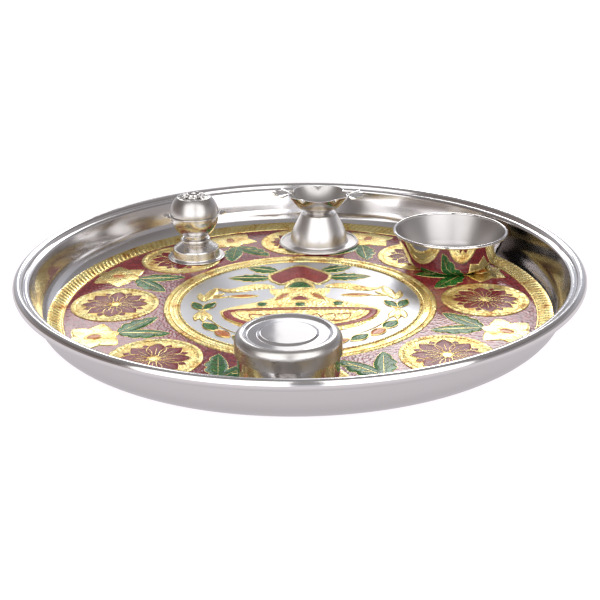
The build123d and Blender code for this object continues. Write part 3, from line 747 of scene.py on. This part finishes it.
def leaf_outline(start, end, width, steps=16):
    """Closed outline of the same leaf."""
    half = lens_half_width(np.linspace(0, 1, steps), width)
    return outline_of(np.linspace(start, end, steps), half, half)


motif_angles = np.arange(8) * 45.0
between_angles = motif_angles + 22.5
print("relief tools ready")

# %% [markdown]
# ## Medallions
# Eight round gilt plates lie in the field. Each has a smooth raised border, a ring of small beads and a pebbled
# ground, and carries a lotus of maroon petals edged with gold wire. The plate is turned, the petals are blades,
# and each petal's wire follows that petal's own outline.

# %% Medallions
band_width = field_radius - ring_radius
medallion_radius = band_width / 2 - 2.7
medallion_circle = ring_radius + band_width / 2
medallion_bead = 2.2
plate_level = field_top + 0.2
lotus_radius = 17.0
petal_width = 9.2
petal_root = 2.4
bead_circle = medallion_radius - 3.0
bead_count = 56
bead_size = 1.0

border = medallion_radius - medallion_bead / 2
border_arc = np.stack((np.linspace(-1, 1, 13), half_round(np.linspace(-1, 1, 13), 2.0)), 1)
border_arc *= (medallion_bead / 2, seat_level - plate_level)
plate_line = np.concatenate((((0, plate_level), (border - medallion_bead, plate_level)),
                             border_arc + (border, plate_level),
                             ((medallion_radius, field_top), (0, field_top))))
small_bead = pillow(circle(bead_size / 2, 8), np.zeros(2), 0.2, plate_level, rings=2)
medallion = [turned(plate_line, steps=112)]
medallion += [placed(small_bead, 0, spot) for spot in circle(bead_circle, bead_count)]
petal = leaf((petal_root, 0), (lotus_radius, 0), petal_width, 0.19, plate_level)
petal_wire = wire(leaf_outline((petal_root, 0), (lotus_radius, 0), petal_width), 0.55, seat_level - plate_level,
                  plate_level)
petal_vein = wire(np.linspace((petal_root + 1, 0), (lotus_radius - 4, 0), 8), 0.5, 0.23, plate_level, closed=False)
short_petal = leaf((petal_root + 5.5, 0), (lotus_radius - 0.6, 0), petal_width * 0.5, 0.15, plate_level)
lotus = [placed(petal, a) for a in motif_angles] + [placed(short_petal, a) for a in between_angles]
lotus_gold = [placed(gold, a) for a in motif_angles for gold in (petal_wire, petal_vein)]
lotus_gold.append(pillow(circle(petal_root + 0.4, 24), np.zeros(2), 0.22, plate_level, rings=4))
make_piece("gilt_medallion_plates", round_floor(medallion, medallion_circle, motif_angles), [gold_ground], "tray",
           ["round_medallions"])
make_piece("maroon_lotus_petals", round_floor(lotus, medallion_circle, motif_angles), [maroon_fill], "tray",
           ["medallion_lotuses"])
make_piece("gilt_lotus_wires", round_floor(lotus_gold, medallion_circle, motif_angles), [gold_smooth], "tray")

# %% [markdown]
# ## Lilies and leaves
# Between the medallions grow gilt lilies with an orange heart, each on a pair of toothed green leaves that point
# to the middle of the tray. Every second petal lies a little higher. The leaf's outer edge is a row of lobes,
# added to its half width, and gold veins run over the green.

# %% Lilies
lily_circle = ring_radius + band_width * 0.74
lily_petals = (12.8, 15.4, 16.0, 12.6, 16.0, 15.4)
lily_petal_width = 12.6
heart_length = 9.0
heart_width = 5.6

share = np.linspace(0, 1, 22)
t = np.linspace(-1, 1, 15)
petal_half = lily_petal_width / 2 * np.sin(math.pi * share ** 0.8)
veins = 0.10 * np.cos(3.5 * math.pi * t) ** 2 + 0.22 * np.exp(-(t / 0.12) ** 2)
petal_form = crowned(share, t, 0.3, 6) * (0.72 + 0.2 * t ** 2 + 0.3 * veins)
lily = []
for i, length in enumerate(lily_petals):
    rise = (seat_level - field_top) * (0.98 if i % 2 else 0.86)
    flower_petal = blade(np.linspace((0.8, 0), (length, 0), 22), petal_half, petal_half, rise * petal_form, field_top)
    lily.append(placed(flower_petal, 60 * i))
heart_outline = circle(1.0, 36) * (heart_length / 2, heart_width / 2)
heart = [pillow(heart_outline, np.zeros(2), seat_level - field_top - 0.02, field_top)]
heart_rim = [wire(heart_outline * 1.06, 0.7, seat_level - field_top, field_top)]
make_piece("gilt_lily_petals", round_floor(lily, lily_circle, between_angles), [gold_smooth], "tray",
           ["gilt_lilies"])
make_piece("orange_lily_hearts", round_floor(heart, lily_circle, between_angles), [orange_fill], "tray",
           ["lily_hearts"])
make_piece("gilt_heart_rims", round_floor(heart_rim, lily_circle, between_angles), [gold_smooth], "tray")

# %% Leaf pairs
leaf_root_share = 0.51
leaf_tip_margin = 2.5
leaf_spread = 26.0
leaf_width = 9.0
leaf_lobes = 4
lobe_reach = 1.9
leaf_rise = 0.34

leaf_root = ring_radius + band_width * leaf_root_share
leaf_length = (band_width * leaf_root_share - leaf_tip_margin) / math.cos(math.radians(leaf_spread))
share = np.linspace(0, 1, 61)
smooth_half = leaf_width / 2 * np.sin(math.pi * share ** 0.85) ** 0.7
lobe = np.abs(np.sin(math.pi * leaf_lobes * share ** 0.9)) ** 0.7
lobed_half = smooth_half + lobe_reach * lobe * np.sin(math.pi * share) ** 0.8
t = np.linspace(-1, 1, 9)
leaf_form = leaf_rise * crowned(share, t, 0.3, 4) * (0.75 + 0.25 * np.abs(t))
leaf_line = np.linspace((0, 0), (leaf_length, 0), 61)
green_pair, vein_pair = [], []
for side in (-1, 1):
    halves = (lobed_half, smooth_half) if side > 0 else (smooth_half, lobed_half)
    green_pair.append(placed(blade(leaf_line, *halves, leaf_form, field_top), 180 + side * leaf_spread))
    golds = [wire(outline_of(leaf_line, *halves), 0.3, 0.14, field_top, steps=4)]
    golds.append(wire(np.linspace((0.5, 0), (leaf_length * 0.9, 0), 20), 0.5, 0.42, field_top, closed=False))
    for place in (0.25, 0.45, 0.65):
        start = np.array((leaf_length * place, 0))
        end = start + (leaf_width * 0.5, side * leaf_width * 0.42)
        golds.append(wire(np.linspace(start, end, 6), 0.36, 0.39, field_top, closed=False, steps=4))
    vein_pair += [placed(gold, 180 + side * leaf_spread) for gold in golds]
make_piece("green_leaf_blades", round_floor(green_pair, leaf_root, between_angles), [green_fill], "tray",
           ["leaf_pairs"])
make_piece("gilt_leaf_veins", round_floor(vein_pair, leaf_root, between_angles), [gold_smooth], "tray")

# %% [markdown]
# ## The water pot
# In the bare middle stands a water pot (kalash) with a coconut and mango leaves: the usual figure of plenty. It
# is symmetric, so its gilt body needs only a half width at each height. Red, green and orange fills lie in it
# as pillows and leaves, and gold wires edge them.

# %% Pot figure
figure_base = floor_level
figure_rise = 0.5


def mirrored(patches):
    """Patches and their mirror images across the figure's upright middle."""
    flipped = [(grid * (-1, 1, 1), rows, columns, number) for grid, rows, columns, number in patches]
    return patches + flipped


def symmetric(right):
    """Closed outline from the points of its right side, top to bottom."""
    right = np.asarray(right, float)
    left = (right * (-1, 1))[::-1]
    return np.concatenate((right, left[left[:, 0] < 0]))


def softened(outline, rounds=3, cut=0.16):
    """Corner cutting: each round swaps a corner for two points, a small share along its two sides."""
    for _ in range(rounds):
        following = np.roll(outline, -1, 0)
        near = (1 - cut) * outline + cut * following
        far = cut * outline + (1 - cut) * following
        outline = np.stack((near, far), 1).reshape(-1, 2)
    return outline


def toothed_leaf(start, end, width, teeth, reach, rise, base):
    """Pointed leaf whose two edges carry small forward teeth, with its outline."""
    share = np.linspace(0, 1, 49)
    tooth = np.mod(share * (teeth + 0.5), 1) ** 1.5 * np.sin(math.pi * share)
    half = lens_half_width(share ** 0.85, width) + reach * tooth
    t = np.linspace(-1, 1, 9)
    form = rise * crowned(share, t, 0.3, 4) * (0.7 + 0.3 * np.abs(t))
    line = np.linspace(start, end, len(share))
    return blade(line, half, half, form, base), outline_of(line, half, half)


pot_heights = np.array((19.8, 13.0, 8.5, 2.0, -5.0, -9.7, -20.0, -30.3, -41.1, -47.8))
pot_halves = np.array((16.0, 15.4, 11.5, 21.0, 35.7, 40.8, 38.0, 29.5, 10.3, 12.7))
levels = np.linspace(pot_heights[0], pot_heights[-1], 90)
halves = np.interp(-levels, -pot_heights, pot_halves)
halves = np.convolve(np.pad(halves, 3, mode="edge"), np.ones(7) / 7, mode="valid")
t = np.linspace(-1, 1, 41)
ribs = 0.05 * np.cos(levels * 2.2)[:, None] + 0.03 * np.cos(t * 14 * math.pi)
pot_form = (figure_rise - 0.2 + ribs) * np.sqrt(1 - t ** 8)
pot_form[[0, -1]] = 0
pot_line = np.stack((np.zeros(90), levels), 1)
gold_figure = [blade(pot_line, halves, halves, pot_form, figure_base)]

coconut = softened(symmetric(((0, 56.6), (16.8, 40.0), (15.4, 31.6), (9.6, 24.6), (0, 35.4))))
red_figure = [pillow(coconut, np.array((0.0, 41.5)), 0.42, figure_base, rings=6)]
gold_figure.append(wire(coconut, 2.2, figure_rise, figure_base))
seed_base, seed_half, seed_height = 19.6, 6.0, 10.2
seed = arc((0, 0), 1.0, 0, 180, 20) * (seed_half, seed_height) + (0, seed_base)
green_figure = [pillow(seed, np.array((0.0, 23.0)), 0.46, figure_base, rings=6)]
gold_figure.append(wire(seed * (1.22, 1.06) + (0, -1.2), 2.2, figure_rise, figure_base))

belly_turn = np.linspace(0, 2 * math.pi, 160, endpoint=False)
belly_depth = np.where(np.sin(belly_turn) > 0, 3.2, 21.0) * np.sin(belly_turn)
belly_side = np.stack((36.4 * np.cos(belly_turn), -11.4 + belly_depth), 1)
red_figure.append(wire(belly_side, 4.4, 0.48, figure_base + 0.02))
gold_figure += [wire(belly_side * (1.07, 1.09) + (0, 0.9), 1.0, figure_rise, figure_base),
                wire(belly_side * (0.88, 0.80) + (0, -2.4), 0.8, figure_rise, figure_base)]
for x in np.linspace(-24, 24, 7):
    foot_point, tip = (x * 0.62, -29.5 + abs(x) * 0.22), (x * 1.05, -15.4)
    gold_figure.append(leaf(foot_point, tip, 6.6, figure_rise, figure_base))
    red_figure.append(wire(leaf_outline(foot_point, tip, 7.4), 0.7, 0.46, figure_base + 0.03))

for start, end in (((11.6, 45.6), (28.6, 52.0)), ((15.0, 35.6), (38.2, 36.4))):
    mango, outline = toothed_leaf(start, end, 9.4, 4, 1.6, 0.46, figure_base)
    green_figure += mirrored([mango])
    gold_figure += mirrored([wire(outline, 0.4, 0.24, figure_base),
                             wire(np.linspace(start, end, 12), 0.5, figure_rise, figure_base, closed=False)])
for x, y in ((-19.2, -2.0), (0.0, -2.6), (19.2, -2.0)):
    gem = circle(1.0, 28) * (3.0, 3.1) + (x, y)
    green_figure.append(pillow(gem, np.array((x, y)), figure_rise, figure_base, rings=5))
    gold_figure.append(wire(gem, 0.8, figure_rise, figure_base))
swag_turn = np.linspace(0, 1, 30)
swag_line = np.stack((13.0 + 31.5 * swag_turn, 21.6 + 2.4 * np.sin(2 * math.pi * swag_turn) - 2.4 * swag_turn
                      + 3.0 * swag_turn ** 6), 1)
swag_half = 4.3 * np.sin(math.pi * swag_turn ** 0.7) ** 0.7
t = np.linspace(-1, 1, 9)
swag_form = (figure_rise - 0.04) * crowned(swag_turn, t, 0.3, 4)
gold_figure += mirrored([blade(swag_line, swag_half, swag_half, swag_form, figure_base)])
orange_figure = []
for start, end, width in (((5.2, 13.2), (13.0, 2.8), 4.0), ((21.5, 9.8), (36.8, 9.4), 3.4)):
    orange_figure += mirrored([leaf(start, end, width, figure_rise, figure_base)])
    gold_figure += mirrored([wire(leaf_outline(start, end, width), 0.7, 0.47, figure_base)])
scroll_turn = np.linspace(0, 1, 24)
scroll = np.stack((36.5 + 12.0 * scroll_turn, 9.4 - 3.4 * scroll_turn + 5.0 * scroll_turn ** 3), 1)
gold_figure += mirrored([wire(scroll, 1.8, 0.45, figure_base, closed=False)])
neck_red = softened(symmetric(((0, 11.0), (6.8, 2.8))), 2)
red_figure.append(pillow(neck_red, np.array((0, 5.6)), figure_rise, figure_base, rings=4))
gold_figure.append(wire(neck_red, 0.8, figure_rise, figure_base))
make_piece("gilt_pot_figure", gold_figure, [gold_ground], "tray", ["pot_gilding"])
make_piece("red_pot_fills", red_figure, [red_fill], "tray", ["pot_red_enamel"])
make_piece("green_pot_fills", green_figure, [green_fill], "tray", ["pot_green_enamel"])
make_piece("orange_pot_fills", orange_figure, [orange_fill], "tray", ["pot_orange_enamel"])

# %% [markdown]
# ## Wreath
# Small leaves of gold, green and orange lie in a loose wreath round the pot, mirrored left and right.

# %% Wreath
wreath_leaves = {
    "gilt": ((((-48.6, 2.6), (-43.6, 23.0), 6.4), ((-49.4, 2.6), (-52.2, 15.0), 4.6),
              ((-46.2, 8.0), (-38.6, 14.0), 3.4), ((-50.0, -9.5), (-51.6, -22.5), 4.6),
              ((-49.0, -9.5), (-47.4, -24.0), 4.8), ((-48.4, -9.5), (-43.4, -22.5), 4.4)),
             "gilding", "wreath_gilding", gold_smooth),
    "green": ((((-49.4, -8.6), (-54.6, 2.2), 5.4), ((-48.8, -8.6), (-42.8, 1.8), 5.4),
               ((-47.4, -24.6), (-39.6, -35.0), 6.6), ((-32.4, -41.0), (-23.4, -48.6), 6.2)),
              "green_enamel", "wreath_green_enamel", green_fill),
    "orange": ((((-41.0, -33.6), (-33.4, -42.8), 6.2), ((-23.0, -46.6), (-13.0, -51.4), 5.4)),
               "orange_enamel", "wreath_orange_enamel", orange_fill),
}
for colour, (leaves, slot, cad_node, finish) in wreath_leaves.items():
    patches = mirrored([leaf(start, end, width, figure_rise, figure_base) for start, end, width in leaves])
    make_piece(colour + "_wreath_leaves", patches, [finish], "tray", [cad_node])
stem_turn = np.radians(np.linspace(178, 236, 40))
stem_radius = 48.6
stem = stem_radius * np.stack((np.cos(stem_turn), np.sin(stem_turn)), 1)
edgings = [wire(leaf_outline(start, end, width), 0.5, 0.47, figure_base)
           for leaves, *_ in (wreath_leaves["green"], wreath_leaves["orange"]) for start, end, width in leaves]
make_piece("gilt_wreath_edges", mirrored([wire(stem, 0.8, 0.4, figure_base, closed=False)] + edgings), [gold_smooth],
           "tray")

# %% [markdown]
# ## Incense stand
# The stand is spun in three pieces: a stepped foot, and a ball in two halves that clamp a thin eared band. Its
# crown is pierced for the sticks. The foot, the lower half and the wire ring at the neck are turned profiles.

# %% Incense foot, ring and lower half
vessel_sheet = 0.6
rivet_hole = 1.55
neck_radius = 6.4
neck_height = 14.0
ball_radius = 13.3
ball_base = 8.5
foot_points = ((15.7, vessel_sheet), (13.4, vessel_sheet), (12.7, 5.6), (neck_radius, 9.6),
               (neck_radius, neck_height), (rivet_hole, neck_height))
foot_line = rounded(foot_points, (0.9, 1.5, 0.6, 1.2))
make_piece("incense_spun_foot", [turned(sheet_profile(foot_line, vessel_sheet), incense_foot, 160)], [incense_satin],
           "incense_stand", ["incense_foot"])
ring_low, ring_high = corners("incense_neck_ring")
wire_size = ring_high[2] - ring_low[2]
wire_circle = (ring_high[0] - ring_low[0]) / 2 - wire_size / 2
wire_level = (ring_high[2] + ring_low[2]) / 2 - incense_foot[2]
make_piece("incense_wire_ring", [turned(round_wire(wire_circle, wire_level, wire_size), incense_foot, 128)],
           [incense_satin], "incense_stand", ["incense_neck_ring"])
band_level = corners("incense_band")[0][2] - incense_foot[2]
base_angle = -math.degrees(math.acos(ball_base / ball_radius))
outside = arc((0, band_level), ball_radius, base_angle, 0, 24)
inside = arc((0, band_level), ball_radius - vessel_sheet, base_angle + 1.5, 0, 24)
lower_half = np.concatenate((outside, inside[::-1],
                             ((rivet_hole, neck_height + vessel_sheet), (rivet_hole, neck_height))))
make_piece("incense_lower_half", [turned(lower_half, incense_foot, 160)], [incense_satin], "incense_stand",
           ["incense_lower_bowl"])

# %% [markdown]
# ## Fan ears
# Both the incense band and the lamp have two small fans, pressed into pleats that end in points. A fan is a grid
# of angle and distance from its root. Its length swings between the points and the valleys, and each pleat
# rises towards its point. A Solidify modifier would give the thickness, but two parallel grids do it as well.

# %% Fans
fan_points = 5
fan_spread = 62.0
fan_valley = 0.74


def fan(root, reach, turn, level, sheet, pleat, foot, steps=12):
    """Pleated fan: length = reach * (valley + rest * pleat wave), height = pleat * wave * distance."""
    swing = np.linspace(-1, 1, 2 * fan_points * steps + 1)
    wave = 1 - np.abs(np.mod(swing * fan_points + 1, 2) - 1)
    length = reach * (fan_valley + (1 - fan_valley) * wave ** 1.3)
    out = np.linspace(0, 1, 9)
    angle = np.radians(swing * fan_spread)[:, None]
    x = root + out * length[:, None] * np.cos(angle)
    y = out * length[:, None] * np.sin(angle)
    z = level + pleat * np.outer(wave - 0.5, out)
    over = np.stack((x, y, z), -1)
    under = over - (0, 0, sheet)
    loop = np.concatenate((over, under[:, ::-1]), 1)
    ends = (loop[:1] + loop[:1, ::-1]) / 2, (loop[-1:] + loop[-1:, ::-1]) / 2
    patch = np.concatenate((ends[0], loop, ends[1])), False, True, 0
    grid, *rest = placed(patch, turn)
    return grid + foot, *rest


band_sheet = 0.8
band_inside, band_outside = 12.7, 14.2
band_top = band_level + band_sheet
band_profile = rounded(((band_inside, band_top), (band_inside, band_level), (band_outside, band_level),
                        (band_outside, band_top), (band_inside + 0.05, band_top)), (0.05, 0.39, 0.39))
incense_fans = [fan(12.9, 5.0, 11.0 + side, band_top - 0.15, 0.5, 0.6, incense_foot)
                for side in (0, 180)]
make_piece("incense_eared_band", [turned(band_profile, incense_foot, 160)] + incense_fans, [incense_satin],
           "incense_stand", ["incense_band"])

# %% [markdown]
# ## Pierced crown
# The upper half of the ball ends in a low crown with six small holes round the stick hole, each with a raised
# lip. The holes are cut out of the grid: faces whose middle lies in a hole are left out, and the points round
# each gap are drawn onto the true circle. A Solidify modifier then gives the sheet its thickness.

# %% Pierced dome
dome_radius = 13.6
crown_radius = 9.4
collar_radius = 4.3
stick_hole = 2.5
side_hole = 1.1
hole_circle = 6.7
dome_level = band_top
crown_level = dome_level + math.sqrt(dome_radius ** 2 - crown_radius ** 2)
crown_top = crown_level + 1.0
crown_angle = math.degrees(math.acos(crown_radius / dome_radius))

dome_line = np.concatenate((arc((0, dome_level), dome_radius, 0, crown_angle, 24),
                            np.stack((np.linspace(crown_radius, collar_radius, 28)[1:],
                                      np.linspace(crown_level, crown_top, 28)[1:]), 1),
                            np.stack((np.linspace(collar_radius, stick_hole, 6)[1:], np.full(5, crown_top)), 1)))
dome_steps = 288
dome_grid, *_ = turned(dome_line, steps=dome_steps)
holes = circle(hole_circle, 6)
gap = np.linalg.norm(dome_grid[:, :, None, :2] - holes, axis=-1)
nearest = gap.min(-1)
on_crown = dome_line[:, 0] < crown_radius - 0.05
lip = 0.36 * np.exp(-((nearest - side_hole - 0.25) / 0.45) ** 2) * on_crown
bosses = placed((dome_grid, True, False, 0), 30)[0]
between = np.linalg.norm(bosses[:, :, None, :2] - holes, axis=-1).min(-1)
dome_grid[..., 2] += lip + 0.5 * np.exp(-(between / 1.3) ** 2) * on_crown
quads = grid_faces(dome_steps, len(dome_line), True, False)
points = dome_grid.reshape(-1, 3)
middle = points[quads].mean(1)[:, :2]
kept = np.linalg.norm(middle[:, None] - holes, axis=-1).min(1) > side_hole
quads = quads[kept]
closest = holes[gap.reshape(-1, 6).argmin(1)]
offset = points[:, :2] - closest
distance = np.linalg.norm(offset, axis=1)
cell = 0.2
snapped = np.abs(distance - side_hole) < cell * 0.75
points[snapped, :2] = closest[snapped] + offset[snapped] / distance[snapped, None] * side_hole
used, quads = np.unique(quads, return_inverse=True)
dome_mesh = bpy.data.meshes.new("incense_pierced_dome")
dome_mesh.from_pydata(((points[used] + incense_foot) * MM).tolist(), [], quads.reshape(-1, 4).tolist())
# The upper half's steel is painted darker as shade.
dome_mesh.materials.append(dome_shaded_satin)
dome = dress("incense_pierced_dome", dome_mesh, "incense_stand", ["incense_dome"])
wall = dome.modifiers.new("sheet", "SOLIDIFY")
wall.thickness = vessel_sheet * MM
wall.offset = -1

# %% Collar and rivet
collar_height = 1.0
angle = np.linspace(0, 2 * math.pi, 240, endpoint=False)[:, None]
scallop = 3.45 + 0.85 * np.abs(np.cos(3 * angle)) ** 0.8
way = np.array((0, 0, 0.3, 0.62, 0.88, 1.0, 1.0))
lift = np.array((0, 0.12, 0.6, 1.0, 0.9, 0.5, 0)) * collar_height
collar_way = stick_hole + (scallop - stick_hole) * way
collar = around(collar_way, angle, crown_top + lift)
make_piece("incense_scalloped_collar", [(collar + incense_foot, True, True, 0)], [incense_satin], "incense_stand",
           ["incense_collar"])
rivet_radius = 1.5
rivet_head = 2.8
rivet_rise = 1.1


def rivet(level, grip, foot):
    """Rivet with two low domes: head height = rise * (1 - (r / head) ** 2)."""
    share = np.linspace(0, 1, 8)
    dome = np.stack((share * rivet_head, rivet_rise * (1 - share ** 2)), 1)
    low = dome * (1, -1) + (0, level)
    high = dome + (0, level + grip)
    shank = np.array(((rivet_radius, level), (rivet_radius, level + grip)))
    return turned(np.concatenate((low, shank, high[::-1])), foot, 48)


make_piece("incense_rivet_heads", [rivet(neck_height - vessel_sheet, 2 * vessel_sheet, incense_foot)], [incense_satin],
           "incense_stand", ["incense_rivet"])

# %% [markdown]
# ## Oil lamp
# A spun cone with a beaded foot carries a turned collar and a lamp bowl with five lobes, one for each wick. Each
# lobe of the lip is an arc between two pinched points. The bowl is a turned profile whose radius is drawn in at
# those points, the more the nearer to the lip. Its inside is rougher than its polished outside, and painted darker
# as shade, so the one grid is cut in two patches at the lip.

# %% Lamp stand and collar
cone_height = 18.2
collar_size = 2.4
stand_radius = 22.75
foot_bead = 1.3
collar_middle, collar_swell = 7.3, 0.7
stand_line = rounded(((stand_radius, vessel_sheet), (16.7, vessel_sheet), (15.9, 6.5), (10.0, cone_height),
                      (rivet_hole, cone_height)), (1.2, 22.0, 1.4))
lamp_patches = [turned(sheet_profile(stand_line, vessel_sheet), lamp_foot, 192),
                turned(round_wire(stand_radius - foot_bead / 2, foot_bead / 2, foot_bead), lamp_foot, 192)]
make_piece("lamp_spun_stand", lamp_patches, [lamp_cone_satin], "oil_lamp", ["lamp_stand"])
groove_share = 0.4
groove_turn, bead_turn = np.linspace(0, math.pi, 9), np.linspace(0, math.pi, 13)
groove = np.stack((collar_middle - collar_swell * np.sin(groove_turn),
                   collar_size * groove_share * groove_turn / math.pi), 1)
bead = np.stack((collar_middle + collar_swell * np.sin(bead_turn),
                 collar_size * (groove_share + (1 - groove_share) * bead_turn / math.pi)), 1)
collar_line = np.concatenate((((rivet_hole, 0),), groove, bead[1:], ((rivet_hole, collar_size),))) + (0, cone_height)
make_piece("lamp_turned_collar", [turned(collar_line, lamp_foot, 128)], [lamp_satin], "oil_lamp", ["lamp_collar"])
make_piece("lamp_rivet_heads", [rivet(cone_height - vessel_sheet, collar_size + 2 * vessel_sheet, lamp_foot)],
           [lamp_satin], "oil_lamp", ["lamp_rivet"])

# %% Lobed lamp bowl
lobes = 5
lobe_start = -126.0
lip_radius = 18.0
lip_dent = 2.6
bowl_level = cone_height + collar_size
bowl_depth = 8.8
base_radius = 8.2
belly = 0.56
fold_width, fold_depth, fold_drop = 4.5, 0.25, 0.2
lobe_steps = 60

turn = np.linspace(0, 2 * math.pi, lobes * lobe_steps, endpoint=False)
half_lobe = math.pi / lobes
swing = np.mod(turn, 2 * half_lobe) - half_lobe
inner = lip_radius - lip_dent
chord = (inner * math.sin(half_lobe), inner * math.cos(half_lobe))
lobe_radius = (chord[0] ** 2 + (lip_radius - chord[1]) ** 2) / (2 * (lip_radius - chord[1]))
lobe_middle = lip_radius - lobe_radius
lip_curve = lobe_middle * np.cos(swing) + np.sqrt(lobe_radius ** 2 - (lobe_middle * np.sin(swing)) ** 2)
pinch = (lip_radius - lip_curve) / lip_dent
fold = np.exp(-((half_lobe - np.abs(swing)) / math.radians(fold_width)) ** 2)

climb = np.linspace(0, 1, 15)
wall_radius = base_radius + (lip_radius - base_radius) * climb ** belly
dent = lip_dent * climb ** 3
outer_wall = np.stack((wall_radius, dent, bowl_level + bowl_depth * climb), 1)
inner_wall = outer_wall[1:] + (-vessel_sheet, 0, 0)
inner_wall[0, 2] = bowl_level + vessel_sheet
floor_ring = np.array(((rivet_hole, 0, bowl_level),))
floor_top = np.array(((7.4, 0, bowl_level + vessel_sheet), (rivet_hole, 0, bowl_level + vessel_sheet)))
stations = np.concatenate((floor_ring, outer_wall, inner_wall[::-1], floor_top))
high = np.clip((stations[:, 2] - bowl_level) / bowl_depth, 0, 1) ** 4
radius = stations[:, 0] - stations[:, 1] * pinch[:, None] - fold_depth * high * fold[:, None]
level = stations[:, 2] - fold_drop * high * fold[:, None]
spread = turn[:, None] + math.radians(lobe_start)
bowl_grid = around(radius, spread, level) + lamp_foot
lip_place = len(floor_ring) + len(outer_wall)
bowl_loop = np.concatenate((bowl_grid, bowl_grid[:, :1]), 1)
lamp_bowl_patches = [(bowl_loop[:, :lip_place + 1], True, False, 0), (bowl_loop[:, lip_place:], True, False, 1)]
make_piece("lamp_lobed_bowl", lamp_bowl_patches, [lamp_satin, lamp_inside_shaded_satin], "oil_lamp", ["lamp_bowl"])
ear_root, ear_end, ear_turn = 15.5, 27.4, -8.0
lamp_fans = [fan(ear_root, ear_end - ear_root, ear_turn + side, bowl_level + bowl_depth - 0.25, 0.4, 0.9, lamp_foot)
             for side in (0, 180)]
make_piece("lamp_fan_ears", lamp_fans, [lamp_satin], "oil_lamp", ["lamp_bowl"])

# %% [markdown]
# ## Katori
# The small bowl is mirror bright outside and satin inside, its inside painted darker as shade, with a rolled lip.
# It is one profile turned twice, its outside and its inside, so that each can have its own finish.

# %% Katori
bowl_sheet = 0.7
bowl_rim = 31.0
bowl_height = 20.3
bowl_base = 22.3
lip_size = 1.7
lip_middle = bowl_rim - lip_size / 2
bowl_line = rounded(((0, 0), (bowl_base, 0), (lip_middle, bowl_height - lip_size / 2)), (9.0,))
bowl_inside = bowl_line + left_normals(bowl_line) * bowl_sheet
bowl_inside[0, 0] = 0
bowl_patches = [turned(bowl_line, bowl_foot, 224, 0, False), turned(bowl_inside, bowl_foot, 224, 1, False)]
lip_wire = round_wire(lip_middle, bowl_height - lip_size / 2, lip_size)
bowl_patches.append(turned(lip_wire, bowl_foot, 224))
make_piece("katori_bowl", bowl_patches, [bowl_mirror, bowl_shaded_satin], "small_bowl", ["katori"])

# %% [markdown]
# ## Powder box
# A straight cup and a slip-on lid. The lid's top has a raised rim, a sunk ring and a flat middle disc, all of the
# same sheet, which its profile follows step by step.

# %% Cup and lid
box_sheet = 0.7
cup_radius = 22.1
cup_height = corners("box_cup")[1][2] - seat_level
cup_line = rounded(((0, 0), (cup_radius, 0), (cup_radius, cup_height)), (2.2,))
make_piece("powder_cup", [turned(sheet_profile(cup_line, box_sheet), box_foot, 192)], [cup_satin], "powder_box",
           ["box_cup"])
lid_radius = 23.15
lid_top = 23.5
lid_side = 9.0
sunk_level, disc_level = lid_top - 1.0, lid_top - 0.3
lid_points = ((lid_radius, lid_top - lid_side), (lid_radius, lid_top), (19.2, lid_top), (17.6, sunk_level),
              (13.4, sunk_level), (11.9, disc_level), (0, disc_level))
lid_line = rounded(lid_points, (3.6, 0.8, 0.8, 0.7, 0.9))
lid_profile = sheet_profile(lid_line[::-1], -box_sheet)
lid_grid, *_ = turned(lid_profile, box_foot, 192)
# Outside this radius the lid's shoulder and skirt are satin and painted darker as shade.
mirror_radius = 19.6
shoulder = int(np.argmax(lid_profile[:, 0] > mirror_radius))
lid_patches = [(lid_grid[:, :shoulder + 1], True, False, 0), (lid_grid[:, shoulder:], True, False, 1)]
make_piece("powder_lid", lid_patches, [box_mirror, box_shaded_satin], "powder_box_lid", ["box_lid"])
